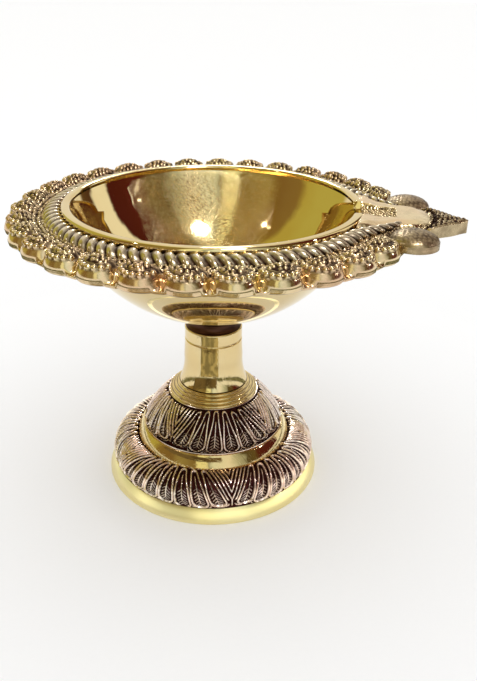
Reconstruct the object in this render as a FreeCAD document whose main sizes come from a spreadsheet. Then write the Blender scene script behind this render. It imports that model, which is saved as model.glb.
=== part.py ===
"""Diya oil lamp: a cast dish with a scalloped rim and a spout, screwed to a turned stem on a two-tier foot.

Millimetres, +Z up. The origin is the centre of the foot's bottom ring, and the spout points along +X.
Every size is a cell of the spreadsheet, and each sketch and feature is bound to those cells.
"""
import FreeCAD, Part
import os
import re

import Sketcher

SIZES = {
    # foot, lower tier
    "foot_radius": 30.6,
    "foot_land": 0.6,
    "foot_ring_width": 2.3,
    "skirt_height": 4.0,
    "skirt_top_radius": 28.5,
    "ovolo_height": 7.45,
    "ovolo_bulge": 3.3,
    "hollow_bulge": 2.7,
    "foot_wall": 2.3,
    "band_radius": 22.0,
    "band_height": 3.55,
    "band_ledge": 0.3,
    "web_thickness": 2.1,
    # foot, upper tier
    "tier_foot_radius": 20.1,
    "tier_top_radius": 12.9,
    "tier_edge": 0.5,
    "tier_height": 10.0,
    "tier_bulge": 0.7,
    "tier_plate": 2.7,
    "tier_wall": 1.5,
    "seat_width": 2.5,
    "spigot_wall": 2.0,
    "spigot_depth": 1.6,
    # collar and stem
    "collar_wall": 1.65,
    "collar_spread": 2.4,
    "collar_height": 3.0,
    "collar_bead": 0.25,
    "stem_foot_radius": 8.4,
    "stem_shoulder": 1.1,
    "stem_waist_radius": 8.2,
    "stem_top_radius": 7.95,
    "stem_flare_height": 7.5,
    "stem_flare_hollow": 0.35,
    "stem_height": 19.8,
    "stem_ring_height": 3.2,
    "stem_groove_width": 0.8,
    "stem_groove_depth": 0.35,
    "stem_chamfer": 0.35,
    # neck and its thread into the stem
    "neck_height": 2.8,
    "neck_foot_radius": 7.65,
    "neck_top_radius": 7.2,
    "neck_hollow": 0.7,
    "thread_radius": 4.0,
    "thread_length": 10.5,
    "thread_chamfer": 0.6,
    "thread_end_gap": 0.5,
    "neck_spigot_radius": 4.5,
    "neck_spigot_height": 2.0,
    "spigot_end_gap": 0.1,
    # tie screw and washer inside the foot
    "tie_thread_radius": 3.0,
    "tie_thread_depth": 7.3,
    "tie_end_gap": 0.5,
    "tie_clearance": 0.2,
    "tie_head_radius": 5.0,
    "tie_head_height": 3.6,
    "tie_slot_width": 1.4,
    "tie_slot_depth": 1.6,
    "washer_radius": 7.5,
    "washer_thickness": 1.2,
    # dish: bowl
    "bowl_radius": 38.0,
    "bowl_depth": 31.5,
    "bowl_side_radius": 22.0,
    "bowl_wall": 2.0,
    "lip_round": 0.6,
    "boss_radius": 7.7,
    "boss_height": 0.9,
    # dish: rim
    "rim_drop": 2.8,
    "rim_thickness": 2.8,
    "rim_width": 9.6,
    "rope_width": 4.4,
    "rope_rise": 1.1,
    "rope_drop": 1.0,
    "lobe_count": 27,
    "lobe_first_angle": 28.0,
    "lobe_reach": 8.4,
    "lobe_radius": 5.1,
    "lobe_thickness": 4.2,
    "lobe_drop": 1.8,
    # dish: spout, with places along X counted from the bowl's edge
    "bank_start_half": 13.5,
    "bank_mid_reach": 8.0,
    "bank_mid_half": 9.6,
    "tongue_reach": 16.0,
    "tongue_half": 7.6,
    "tongue_bulge": 1.4,
    "bank_drop": 1.0,
    "tip_reach": 25.3,
    "tip_half": 1.7,
    "tip_bulge": 1.2,
    "notch_reach": 16.5,
    "notch_half": 8.8,
    "tip_root_reach": 8.0,
    "tip_root_half": 11.5,
    "tip_drop": 2.0,
    "spout_base_drop": 5.6,
    "side_lobe_reach": 11.3,
    "side_lobe_across": 15.3,
    "side_lobe_radius": 6.5,
    "side_lobe_drop": 1.6,
    "channel_inset": 7.0,
    "channel_start_half": 5.2,
    "channel_reach": 9.0,
    "channel_end_half": 3.2,
    "channel_drop": 2.7,
    # radial clearance of every fit
    "fit_gap": 0.05,
}

document = FreeCAD.newDocument("diya_lamp")
sizes = document.addObject("Spreadsheet::Sheet", "sizes")
for row, (alias, number) in enumerate(SIZES.items(), start=1):
    sizes.set(f"A{row}", alias)
    sizes.set(f"B{row}", str(number))
    sizes.setAlias(f"B{row}", alias)
document.recompute()

# Levels, each written from the sizes under it
BAND_LEVEL = "(skirt_height + ovolo_height)"
SEAT_LEVEL = f"({BAND_LEVEL} + band_height)"
PLATE_LEVEL = f"({SEAT_LEVEL} + tier_height)"
COLLAR_TOP = f"({PLATE_LEVEL} + collar_height)"
STEM_TOP = f"({PLATE_LEVEL} + stem_height)"
NECK_TOP = f"({STEM_TOP} + neck_height)"
BOWL_BOTTOM = f"({NECK_TOP} + boss_height)"
LIP_LEVEL = f"({BOWL_BOTTOM} + bowl_depth)"
RIM_LEVEL = f"({LIP_LEVEL} - rim_drop)"

# The bowl's section is two tangent arcs: one about the axis, and one at the side, level at the lip
SIDE_CENTRE = "(bowl_radius - bowl_side_radius)"
FLOOR_RADIUS = (
    "((bowl_radius^2 - 2 * bowl_radius * bowl_side_radius + bowl_depth^2)"
    " / (2 * bowl_depth - 2 * bowl_side_radius))"
)
FLOOR_CENTRE = f"({BOWL_BOTTOM} + {FLOOR_RADIUS})"

SHEET_WORD = re.compile(r"\b(" + "|".join(SIZES) + r")\b")


def bound(text):
    """An expression with each size's name replaced by its cell."""
    return SHEET_WORD.sub(r"sizes.\1", text)


def value(text):
    """The number that an expression gives now."""
    found = sizes.evalExpression(bound(text))
    return float(getattr(found, "Value", found))


def bind(target, prop, text):
    """Ties a property to an expression of the sizes."""
    target.setExpression(prop, bound(text))


def new_body(name):
    """An empty body whose label is the sub-part's name."""
    body = document.addObject("PartDesign::Body", name)
    body.Label = name
    return body


def origin_feature(body, role):
    """A body's own origin plane or axis."""
    return next(feature for feature in body.Origin.OriginFeatures if feature.Role == role)


def new_sketch(body, name, plane, level=None):
    """A sketch on one of the body's origin planes, lifted to a level if one is given."""
    sketch = body.newObject("Sketcher::SketchObject", name)
    sketch.AttachmentSupport = (origin_feature(body, plane), [""])
    sketch.MapMode = "FlatFace"
    if level:
        bind(sketch, "AttachmentOffset.Base.z", level)
    return sketch


def fix_point(sketch, edge, end, across, along):
    """Holds a point of an edge at two expressions, or on an axis where one of them is 0."""
    for text, kind, axis in ((across, "DistanceX", -2), (along, "DistanceY", -1)):
        if text == "0":
            sketch.addConstraint(Sketcher.Constraint("PointOnObject", edge, end, axis))
        else:
            rule = sketch.addConstraint(Sketcher.Constraint(kind, -1, 1, edge, end, value(text)))
            bind(sketch, f"Constraints[{rule}]", text)


def arc_between(first, last, bulge):
    """The arc from one point to the next that leaves its chord by bulge: to the right if positive."""
    chord = last - first
    middle = (first + last) * 0.5
    outward = FreeCAD.Vector(chord.y, -chord.x, 0) / chord.Length
    return Part.Arc(first, middle + outward * bulge, last)


def outline(sketch, corners, bulges=None):
    """Draws a closed outline. corners: pairs of expressions. bulges: corner to (expression, side) of its arc."""
    bulges = bulges or {}
    points = [FreeCAD.Vector(value(across), value(along), 0) for across, along in corners]
    starts = []
    for i, first in enumerate(points):
        last = points[(i + 1) % len(points)]
        if i in bulges:
            text, side = bulges[i]
            arc = arc_between(first, last, side * value(text))
            edge = sketch.addGeometry(arc, False)
            # the sketcher keeps arcs anticlockwise, so the first point may be the arc's end
            begins = sketch.getPoint(edge, 1).distanceToPoint(first) < 1e-6
            starts.append((edge, 1 if begins else 2, 2 if begins else 1))
        else:
            edge = sketch.addGeometry(Part.LineSegment(first, last), False)
            starts.append((edge, 1, 2))
    for i, (edge, start, end) in enumerate(starts):
        after, after_start, _ = starts[(i + 1) % len(starts)]
        sketch.addConstraint(Sketcher.Constraint("Coincident", edge, end, after, after_start))
    for (across, along), (edge, start, _) in zip(corners, starts):
        fix_point(sketch, edge, start, across, along)
    for i, (text, _) in bulges.items():
        (x1, y1), (x2, y2) = corners[i], corners[(i + 1) % len(corners)]
        radius = f"((({x2}) - ({x1}))^2 + (({y2}) - ({y1}))^2) / (8 * ({text})) + ({text}) / 2"
        rule = sketch.addConstraint(Sketcher.Constraint("Radius", starts[i][0], value(radius)))
        bind(sketch, f"Constraints[{rule}]", radius)


def turned(name, corners, bulges=None):
    """A body turned about Z from a half section."""
    body = new_body(name)
    section = new_sketch(body, f"{name}_section", "XZ_Plane")
    outline(section, corners, bulges)
    turn = body.newObject("PartDesign::Revolution", f"{name}_turn")
    turn.Profile = section
    turn.ReferenceAxis = (section, ["V_Axis"])
    turn.Angle = 360
    document.recompute()
    return body


def pad(body, sketch, length):
    """Adds a sketch's area upwards."""
    added = body.newObject("PartDesign::Pad", f"{sketch.Name}_pad")
    added.Profile = sketch
    bind(added, "Length", length)
    document.recompute()
    return added


def pocket(body, sketch, depth, upwards=False):
    """Cuts a sketch's area away, downwards unless told otherwise, and makes sure that it cut."""
    before = body.Shape.Volume
    cut = body.newObject("PartDesign::Pocket", f"{sketch.Name}_cut")
    cut.Profile = sketch
    cut.Reversed = upwards
    bind(cut, "Length", depth)
    document.recompute()
    if not body.Shape.Volume < before:
        raise RuntimeError(f"{cut.Name} cuts nothing")
    return cut


def circle(sketch, radius, across, along):
    """Draws a circle whose radius and centre are expressions."""
    centre = FreeCAD.Vector(value(across), value(along), 0)
    edge = sketch.addGeometry(Part.Circle(centre, FreeCAD.Vector(0, 0, 1), value(radius)), False)
    rule = sketch.addConstraint(Sketcher.Constraint("Radius", edge, value(radius)))
    bind(sketch, f"Constraints[{rule}]", radius)
    fix_point(sketch, edge, 3, across, along)


def bowl_side(inset, level):
    """The bowl's radius on the side arc at a level, inset by a wall."""
    return f"({SIDE_CENTRE} + sqrt((bowl_side_radius - {inset})^2 - ({LIP_LEVEL} - {level})^2))"


def bowl_joint(inset):
    """Where the two arcs of the bowl meet, inset by a wall."""
    share = f"(({FLOOR_RADIUS} - {inset}) / ({FLOOR_RADIUS} - bowl_side_radius))"
    return f"{share} * {SIDE_CENTRE}", f"{FLOOR_CENTRE} + {share} * ({LIP_LEVEL} - {FLOOR_CENTRE})"


def sagitta(first, last, radius):
    """How far an arc of this radius leaves the chord between two points."""
    (x1, y1), (x2, y2) = first, last
    chord = f"((({x2}) - ({x1}))^2 + (({y2}) - ({y1}))^2)"
    return f"({radius} - sqrt({radius}^2 - {chord} / 4))"


def foot_lower():
    """Lower tier: polished skirt, rounded petal tier and plain band, hollow underneath."""
    band_top = "tier_foot_radius + band_ledge"
    bore = "tier_foot_radius - seat_width + fit_gap"
    corners = [
        ("foot_radius - foot_ring_width", "0"),
        ("foot_radius", "0"),
        ("foot_radius", "foot_land"),
        ("skirt_top_radius", "skirt_height"),
        ("band_radius", BAND_LEVEL),
        (band_top, SEAT_LEVEL),
        (bore, SEAT_LEVEL),
        (bore, f"{SEAT_LEVEL} - web_thickness"),
        ("band_radius - foot_wall", f"{BAND_LEVEL} - foot_wall"),
        ("skirt_top_radius - foot_wall", "skirt_height"),
    ]
    return turned("foot_lower", corners, {3: ("ovolo_bulge", 1), 8: ("hollow_bulge", -1)})


def foot_upper():
    """Upper tier: a petal cone with a top plate, and a spigot that seats in the lower tier."""
    spigot = "tier_foot_radius - seat_width"
    hollow = f"{spigot} - spigot_wall"
    under_plate = f"{PLATE_LEVEL} - tier_plate"
    corners = [
        ("tie_thread_radius + tie_clearance", PLATE_LEVEL),
        ("tie_thread_radius + tie_clearance", under_plate),
        ("tier_top_radius - tier_wall", under_plate),
        (hollow, SEAT_LEVEL),
        (hollow, f"{SEAT_LEVEL} - spigot_depth"),
        (spigot, f"{SEAT_LEVEL} - spigot_depth"),
        (spigot, SEAT_LEVEL),
        ("tier_foot_radius", SEAT_LEVEL),
        ("tier_foot_radius", f"{SEAT_LEVEL} + tier_edge"),
        ("tier_top_radius", PLATE_LEVEL),
    ]
    return turned("foot_upper", corners, {8: ("tier_bulge", 1)})


def stem_collar():
    """Stepped ring round the stem's foot, turned with a bead on each step."""
    steps = 4
    bore = "stem_foot_radius + fit_gap"
    height = "(collar_height - fit_gap)"
    corners = [(bore, PLATE_LEVEL)]
    bulges = {}
    for step in range(steps):
        radius = f"{bore} + collar_wall + collar_spread * {steps - 1 - step} / {steps - 1}"
        bulges[len(corners)] = ("collar_bead", 1)
        corners += [
            (radius, f"{PLATE_LEVEL} + {height} * {step} / {steps}"),
            (radius, f"{PLATE_LEVEL} + {height} * {step + 1} / {steps}"),
        ]
    corners.append((bore, f"{PLATE_LEVEL} + {height}"))
    return turned("stem_collar", corners, bulges)


def stem():
    """Turned column, tapped below for the tie screw and above for the neck."""
    ring_level = f"({STEM_TOP} - stem_ring_height)"
    flare_top = f"{COLLAR_TOP} + stem_flare_height"
    groove_radius = "stem_top_radius - stem_groove_depth"
    upper_bore = "thread_radius + fit_gap"
    upper_end = f"{STEM_TOP} - thread_length - thread_end_gap"
    lower_end = f"{PLATE_LEVEL} + tie_thread_depth"
    corners = [
        ("0", lower_end),
        ("tie_thread_radius + fit_gap", lower_end),
        ("tie_thread_radius + fit_gap", PLATE_LEVEL),
        ("stem_foot_radius", PLATE_LEVEL),
        ("stem_foot_radius", COLLAR_TOP),
        ("stem_foot_radius + stem_shoulder", COLLAR_TOP),
        ("stem_waist_radius", flare_top),
        ("stem_top_radius", f"{ring_level} - stem_groove_width"),
        (groove_radius, f"{ring_level} - stem_groove_width / 2"),
        ("stem_top_radius", ring_level),
        ("stem_top_radius", f"{STEM_TOP} - stem_chamfer"),
        ("stem_top_radius - stem_chamfer", STEM_TOP),
        (upper_bore, STEM_TOP),
        (upper_bore, upper_end),
        ("0", upper_end),
    ]
    return turned("stem", corners, {5: ("stem_flare_hollow", -1)})


def neck_screw():
    """Waisted neck with a spigot up into the dish and a screw down into the stem."""
    screw_end = f"{STEM_TOP} - thread_length"
    spigot_top = f"{NECK_TOP} + neck_spigot_height"
    corners = [
        ("0", screw_end),
        ("thread_radius - thread_chamfer", screw_end),
        ("thread_radius", f"{screw_end} + thread_chamfer"),
        ("thread_radius", STEM_TOP),
        ("neck_foot_radius", STEM_TOP),
        ("neck_top_radius", NECK_TOP),
        ("neck_spigot_radius", NECK_TOP),
        ("neck_spigot_radius", spigot_top),
        ("0", spigot_top),
    ]
    return turned("neck_screw", corners, {4: ("neck_hollow", -1)})


def foot_washer():
    """Flat washer under the top plate of the foot."""
    top = f"{PLATE_LEVEL} - tier_plate"
    bore = "tie_thread_radius + tie_clearance"
    corners = [
        (bore, f"{top} - washer_thickness"),
        ("washer_radius", f"{top} - washer_thickness"),
        ("washer_radius", top),
        (bore, top),
    ]
    return turned("foot_washer", corners)


def foot_screw():
    """Slotted tie screw from inside the foot up into the stem."""
    seat = f"({PLATE_LEVEL} - tier_plate - washer_thickness)"
    head = f"({seat} - tie_head_height)"
    end = f"{PLATE_LEVEL} + tie_thread_depth - tie_end_gap"
    corners = [
        ("0", head),
        ("tie_head_radius", head),
        ("tie_head_radius", seat),
        ("tie_thread_radius", seat),
        ("tie_thread_radius", end),
        ("0", end),
    ]
    body = turned("foot_screw", corners)
    slot = new_sketch(body, "foot_screw_slot", "XY_Plane", head)
    reach = "(tie_head_radius + tie_slot_width)"
    outline(slot, [
        (f"-{reach}", "-tie_slot_width / 2"),
        (reach, "-tie_slot_width / 2"),
        (reach, "tie_slot_width / 2"),
        (f"-{reach}", "tie_slot_width / 2"),
    ])
    pocket(body, slot, "tie_slot_depth", upwards=True)
    return body


def dish_casting():
    """The turned part of the dish: boss, bowl, lip, rope border and flat rim."""
    boss_bore = "neck_spigot_radius + fit_gap"
    bore_end = f"{NECK_TOP} + neck_spigot_height + spigot_end_gap"
    boss_top = f"{FLOOR_CENTRE} - sqrt({FLOOR_RADIUS}^2 - boss_radius^2)"
    rim_bottom = f"({RIM_LEVEL} - rim_thickness)"
    outer_joint, inner_joint = bowl_joint("0"), bowl_joint("bowl_wall")
    under_rim = (bowl_side("0", rim_bottom), rim_bottom)
    rope_inside = ("bowl_radius", f"{LIP_LEVEL} - rope_drop")
    rope_outside = ("bowl_radius + rope_width", RIM_LEVEL)
    lip_edge = f"({LIP_LEVEL} - lip_round)"
    lip_inside = (bowl_side("bowl_wall", lip_edge), lip_edge)
    floor = ("0", f"{BOWL_BOTTOM} + bowl_wall")
    inner_floor_radius = f"({FLOOR_RADIUS} - bowl_wall)"
    corners = [
        ("0", bore_end),
        (boss_bore, bore_end),
        (boss_bore, NECK_TOP),
        ("neck_top_radius", NECK_TOP),
        ("boss_radius", BOWL_BOTTOM),
        ("boss_radius", boss_top),
        outer_joint,
        under_rim,
        ("bowl_radius + rim_width", rim_bottom),
        ("bowl_radius + rim_width", RIM_LEVEL),
        rope_outside,
        rope_inside,
        ("bowl_radius", lip_edge),
        ("bowl_radius - lip_round", LIP_LEVEL),
        ("bowl_radius - bowl_wall + lip_round", LIP_LEVEL),
        lip_inside,
        inner_joint,
        floor,
    ]
    bulges = {
        5: (sagitta(corners[5], outer_joint, FLOOR_RADIUS), 1),
        6: (sagitta(outer_joint, under_rim, "bowl_side_radius"), 1),
        10: ("rope_rise", 1),
        15: (sagitta(lip_inside, inner_joint, "(bowl_side_radius - bowl_wall)"), -1),
        16: (sagitta(inner_joint, floor, inner_floor_radius), -1),
    }
    return turned("dish", corners, bulges)


def add_lobes(body):
    """The scalloped edge: one round lobe repeated round the rim, leaving the spout clear."""
    top = f"({LIP_LEVEL} - lobe_drop)"
    lobe = new_sketch(body, "lobe", "XY_Plane", f"{top} - lobe_thickness")
    across = "(bowl_radius + lobe_reach) * cos(lobe_first_angle * 1 deg)"
    along = "(bowl_radius + lobe_reach) * sin(lobe_first_angle * 1 deg)"
    circle(lobe, "lobe_radius", across, along)
    first = pad(body, lobe, "lobe_thickness")
    ring = body.newObject("PartDesign::PolarPattern", "lobe_ring")
    ring.Originals = [first]
    ring.Axis = (origin_feature(body, "Z_Axis"), [""])
    bind(ring, "Angle", "360 - 2 * lobe_first_angle")
    bind(ring, "Occurrences", "lobe_count")
    body.Tip = ring
    document.recompute()


def add_spout(body):
    """The spout: side lobes, pointed tip, raised banks with their tongue, and the wick channel."""
    base = f"({LIP_LEVEL} - spout_base_drop)"
    side = new_sketch(body, "side_lobes", "XY_Plane", base)
    for across in ("-side_lobe_across", "side_lobe_across"):
        circle(side, "side_lobe_radius", "bowl_radius + side_lobe_reach", across)
    pad(body, side, "spout_base_drop - side_lobe_drop")

    tip = new_sketch(body, "tip", "XY_Plane", base)
    nose = "bowl_radius + tip_reach - tip_bulge"
    outline(tip, [
        ("bowl_radius + tip_root_reach", "-tip_root_half"),
        ("bowl_radius + notch_reach", "-notch_half"),
        (nose, "-tip_half"),
        (nose, "tip_half"),
        ("bowl_radius + notch_reach", "notch_half"),
        ("bowl_radius + tip_root_reach", "tip_root_half"),
    ], {2: ("tip_bulge", 1)})
    pad(body, tip, "spout_base_drop - tip_drop")

    # the banks start in the middle of the bowl's wall, so that the bowl stays clear
    banks = new_sketch(body, "banks", "XY_Plane", base)
    wall_middle = "(bowl_radius - bowl_wall / 2)"
    start = f"sqrt({wall_middle}^2 - bank_start_half^2)"
    outline(banks, [
        (start, "-bank_start_half"),
        ("bowl_radius + bank_mid_reach", "-bank_mid_half"),
        ("bowl_radius + tongue_reach", "-tongue_half"),
        ("bowl_radius + tongue_reach", "tongue_half"),
        ("bowl_radius + bank_mid_reach", "bank_mid_half"),
        (start, "bank_start_half"),
    ], {2: ("tongue_bulge", 1), 5: (f"({wall_middle} - {start})", -1)})
    pad(body, banks, "spout_base_drop - bank_drop")

    # cut from above the rope border, which stands a little proud of the banks
    channel = new_sketch(body, "channel", "XY_Plane", f"{LIP_LEVEL} + rope_rise")
    outline(channel, [
        ("bowl_radius - channel_inset", "-channel_start_half"),
        ("bowl_radius + channel_reach", "-channel_end_half"),
        ("bowl_radius + channel_reach", "channel_end_half"),
        ("bowl_radius - channel_inset", "channel_start_half"),
    ])
    pocket(body, channel, "channel_drop + rope_rise")


def dish():
    """The whole dish: one casting."""
    body = dish_casting()
    add_lobes(body)
    add_spout(body)
    return body


def check(parts):
    """Stops if any object failed or any sub-part's shape is unusable."""
    for item in document.Objects:
        if {"Invalid", "Error"} & set(item.State):
            raise RuntimeError(f"{item.Name} failed: {item.State}")
    for part in parts:
        if part.Shape.isNull() or not part.Shape.isValid():
            raise RuntimeError(f"{part.Label} has no valid shape")


def main():
    """Builds every sub-part, checks it and writes it out."""
    parts = [
        foot_lower(),
        foot_upper(),
        stem_collar(),
        stem(),
        foot_washer(),
        foot_screw(),
        neck_screw(),
        dish(),
    ]
    document.recompute()
    check(parts)
    os.makedirs("parts", exist_ok=True)
    for part in parts:
        part.Shape.exportStep(f"parts/{part.Label}.step")
        box = part.Shape.BoundBox
        print(f"{part.Label}: {part.Shape.Volume:.1f} mm3, X {box.XMin:.2f}..{box.XMax:.2f}, "
              f"Y {box.YMin:.2f}..{box.YMax:.2f}, Z {box.ZMin:.2f}..{box.ZMax:.2f}, "
              f"{len(part.Shape.Solids)} solid")


main()
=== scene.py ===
"""Diya oil lamp in cast and turned brass: the visual pieces, their finishes and a plain studio."""
import logging
import math
from dataclasses import dataclass
from enum import Enum
from typing import Callable, Union

import bmesh
import bpy
import numpy as np
from mathutils import Matrix, Vector


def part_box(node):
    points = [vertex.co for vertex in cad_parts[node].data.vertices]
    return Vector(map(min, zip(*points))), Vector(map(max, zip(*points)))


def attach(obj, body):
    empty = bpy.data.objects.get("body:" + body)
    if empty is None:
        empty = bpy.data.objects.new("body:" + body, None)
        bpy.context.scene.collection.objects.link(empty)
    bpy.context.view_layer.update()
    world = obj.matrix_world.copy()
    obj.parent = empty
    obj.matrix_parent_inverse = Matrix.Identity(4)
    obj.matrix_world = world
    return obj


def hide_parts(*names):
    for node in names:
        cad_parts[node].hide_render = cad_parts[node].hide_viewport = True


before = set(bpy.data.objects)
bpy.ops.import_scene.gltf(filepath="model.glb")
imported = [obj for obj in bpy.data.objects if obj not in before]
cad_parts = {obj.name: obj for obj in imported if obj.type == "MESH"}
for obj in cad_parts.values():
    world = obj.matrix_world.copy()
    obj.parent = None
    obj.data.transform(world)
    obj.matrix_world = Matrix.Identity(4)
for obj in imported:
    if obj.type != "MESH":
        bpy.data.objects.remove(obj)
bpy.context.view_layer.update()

MM = 0.001
LOG = logging.getLogger("diya_lamp")
Section = list[tuple[float, float]]
Colour = tuple[float, float, float]
Shaped = tuple[np.ndarray, dict[str, np.ndarray]]
Shaper = Callable[[np.ndarray], Shaped]
Fed = Union[bpy.types.NodeSocket, tuple, float]


class Body(Enum):
    """The rigid bodies that pieces ride on."""

    STAND = "stand"
    NECK = "neck"
    DISH = "dish"


# ---------------------------------------------------------------- shapes


def smooth(low: float, high: float, x: np.ndarray) -> np.ndarray:
    """A soft step from 0 at low to 1 at high.

    Args:
        low: Where the step starts.
        high: Where the step ends; it may be less than low.
        x: The values to look up.

    Returns:
        The step at each value.
    """
    t = np.clip((x - low) / (high - low), 0.0, 1.0)
    return t * t * (3.0 - 2.0 * t)


def arc(across: float, level: float, radius: float, start: float, end: float, count: int) -> Section:
    """Points on an arc of a half section.

    Args:
        across: The centre's distance from the axis.
        level: The centre's height.
        radius: The arc's radius.
        start: First angle in degrees, 0 pointing away from the axis and 90 up.
        end: Last angle.
        count: How many points.

    Returns:
        The points, from start to end.
    """
    turns = np.radians(np.linspace(start, end, count))
    return [(across + radius * math.cos(a), level + radius * math.sin(a)) for a in turns]


def bowed(first: tuple[float, float], last: tuple[float, float], bulge: float, count: int) -> Section:
    """Points on an arc between two points, leaving their chord by bulge.

    Args:
        first: First point.
        last: Last point.
        bulge: How far the middle stands to the right of the chord.
        count: How many points, both ends included.

    Returns:
        The points, from first to last.
    """
    p, q = np.array(first), np.array(last)
    chord = q - p
    span = float(np.hypot(*chord))
    side = np.array([chord[1], -chord[0]]) / span
    if abs(bulge) < 1e-6:
        return [tuple(p + chord * t) for t in np.linspace(0, 1, count)]
    radius = span * span / (8 * abs(bulge)) + abs(bulge) / 2
    half = math.asin(min(1.0, span / 2 / radius))
    points = []
    for a in np.linspace(-half, half, count):
        along = 0.5 + radius * math.sin(a) / span
        out = (radius * math.cos(a) - (radius - abs(bulge))) * math.copysign(1, bulge)
        points.append(tuple(p + chord * along + side * out))
    return points


def line(first: tuple[float, float], last: tuple[float, float], count: int) -> Section:
    """Evenly spaced points from first to last, both included."""
    return bowed(first, last, 0.0, count)


def finished(work: bmesh.types.BMesh, name: str) -> bpy.types.Mesh:
    """Turns a bmesh into a mesh and frees it.

    Args:
        work: The bmesh.
        name: The mesh's name.

    Returns:
        The mesh.
    """
    mesh = bpy.data.meshes.new(name)
    work.to_mesh(mesh)
    work.free()
    return mesh


def placed(name: str, data: bpy.types.ID) -> bpy.types.Object:
    """Puts a mesh, a light or a camera into the scene at the origin.

    Args:
        name: The object's name.
        data: What it shows.

    Returns:
        The object.
    """
    made = bpy.data.objects.new(name, data)
    bpy.context.scene.collection.objects.link(made)
    return made


def spun(name: str, section: Section, steps: int, sweep: float = 360.0) -> bpy.types.Mesh:
    """Spins a closed half section about Z, in millimetres.

    Args:
        name: The mesh's name.
        section: Points as (distance from the axis, height).
        steps: Steps of the spin.
        sweep: How far it turns, in degrees.

    Returns:
        The mesh, with its faces outwards.
    """
    shares = math.gcd(steps, 48)
    turn = math.radians(sweep / shares)
    wedge = bmesh.new()
    row = [wedge.verts.new((r, 0.0, z)) for r, z in section]
    edges = [wedge.edges.new(pair) for pair in zip(row, row[1:] + row[:1])]
    bmesh.ops.spin(wedge, geom=row + edges, cent=(0, 0, 0), axis=(0, 0, 1), dvec=(0, 0, 0),
                   angle=turn, steps=steps // shares, use_merge=False, use_duplicate=False)
    mesh = finished(wedge, name)
    work = bmesh.new()
    for _ in range(shares):
        work.from_mesh(mesh)
        mesh.transform(Matrix.Rotation(turn, 4, "Z"))
    bmesh.ops.remove_doubles(work, verts=work.verts, dist=1e-3)
    if sweep < 360.0:
        bmesh.ops.holes_fill(work, edges=[e for e in work.edges if e.is_boundary], sides=0)
    bmesh.ops.recalc_face_normals(work, faces=work.faces)
    work.to_mesh(mesh)
    work.free()
    return mesh


def reshape(mesh: bpy.types.Mesh, shaper: Shaper) -> None:
    """Moves a mesh's points and stores what the shaper found out about them.

    Args:
        mesh: The mesh, in millimetres.
        shaper: Takes the points, gives the new points and named values for each point.
    """
    points = np.empty(len(mesh.vertices) * 3, dtype=np.float32)
    mesh.vertices.foreach_get("co", points)
    moved, values = shaper(points.reshape(-1, 3).astype(float))
    mesh.vertices.foreach_set("co", moved.astype(np.float32).ravel())
    for name, found in values.items():
        store = mesh.attributes.new(name, "FLOAT", "POINT")
        store.data.foreach_set("value", np.clip(found, 0.0, 1.0).astype(np.float32))
    mesh.update()


def plain(points: np.ndarray) -> Shaped:
    """Leaves the points where they are, all of them bright metal."""
    return points, {"relief_and_shade": np.ones(len(points))}


def install(mesh: bpy.types.Mesh, body: Body, node: str, finish: bpy.types.Material,
            crease: float = 38.0) -> bpy.types.Object:
    """Makes a piece of a mesh in millimetres and puts it in its body.

    Args:
        mesh: The finished mesh.
        body: The body that it rides on.
        node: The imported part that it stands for.
        finish: Its material.
        crease: Edges sharper than this stay sharp, in degrees.

    Returns:
        The piece.
    """
    mesh.transform(Matrix.Scale(MM, 4))
    mesh.materials.append(finish)
    mesh.shade_smooth()
    mesh.set_sharp_from_angle(angle=math.radians(crease))
    piece = placed(mesh.name, mesh)
    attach(piece, body.value)
    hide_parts(node)
    LOG.info("%s: %d points, rides on %s", mesh.name, len(mesh.vertices), body.value)
    return piece


def scatter(cells: np.ndarray, seed: float) -> np.ndarray:
    """A repeatable value from 0 to 1 for each pair of whole numbers.

    Args:
        cells: Whole numbers, two columns.
        seed: Gives another set of values.

    Returns:
        One value for each row.
    """
    mixed = np.sin(cells[:, 0] * 12.9898 + cells[:, 1] * 78.233 + seed * 37.719) * 43758.5453
    return mixed - np.floor(mixed)


def nubs(x: np.ndarray, y: np.ndarray, pitch: float, radius: float, seed: float) -> np.ndarray:
    """Heights of a field of small round punch marks, 0 to 1.

    Args:
        x: Place along the rows.
        y: Place across the rows.
        pitch: Distance from one mark to the next.
        radius: Radius of a mark.
        seed: Gives another scatter.

    Returns:
        The height at each place.
    """
    row = np.floor(y / (pitch * 0.87))
    shift = np.where(row % 2 == 0, 0.0, 0.5)
    column = np.floor(x / pitch + shift)
    cells = np.stack([column, row], axis=1)
    dx = (x / pitch + shift - column - 0.5 + 0.44 * (scatter(cells, seed) - 0.5)) * pitch
    dy = (y / (pitch * 0.87) - row - 0.5 + 0.44 * (scatter(cells, seed + 1) - 0.5)) * pitch * 0.87
    size = radius * (0.8 + 0.4 * scatter(cells, seed + 2))
    return np.sqrt(np.clip(1.0 - (dx * dx + dy * dy) / (size * size), 0.0, 1.0))


# ---------------------------------------------------------------- finishes


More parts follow.
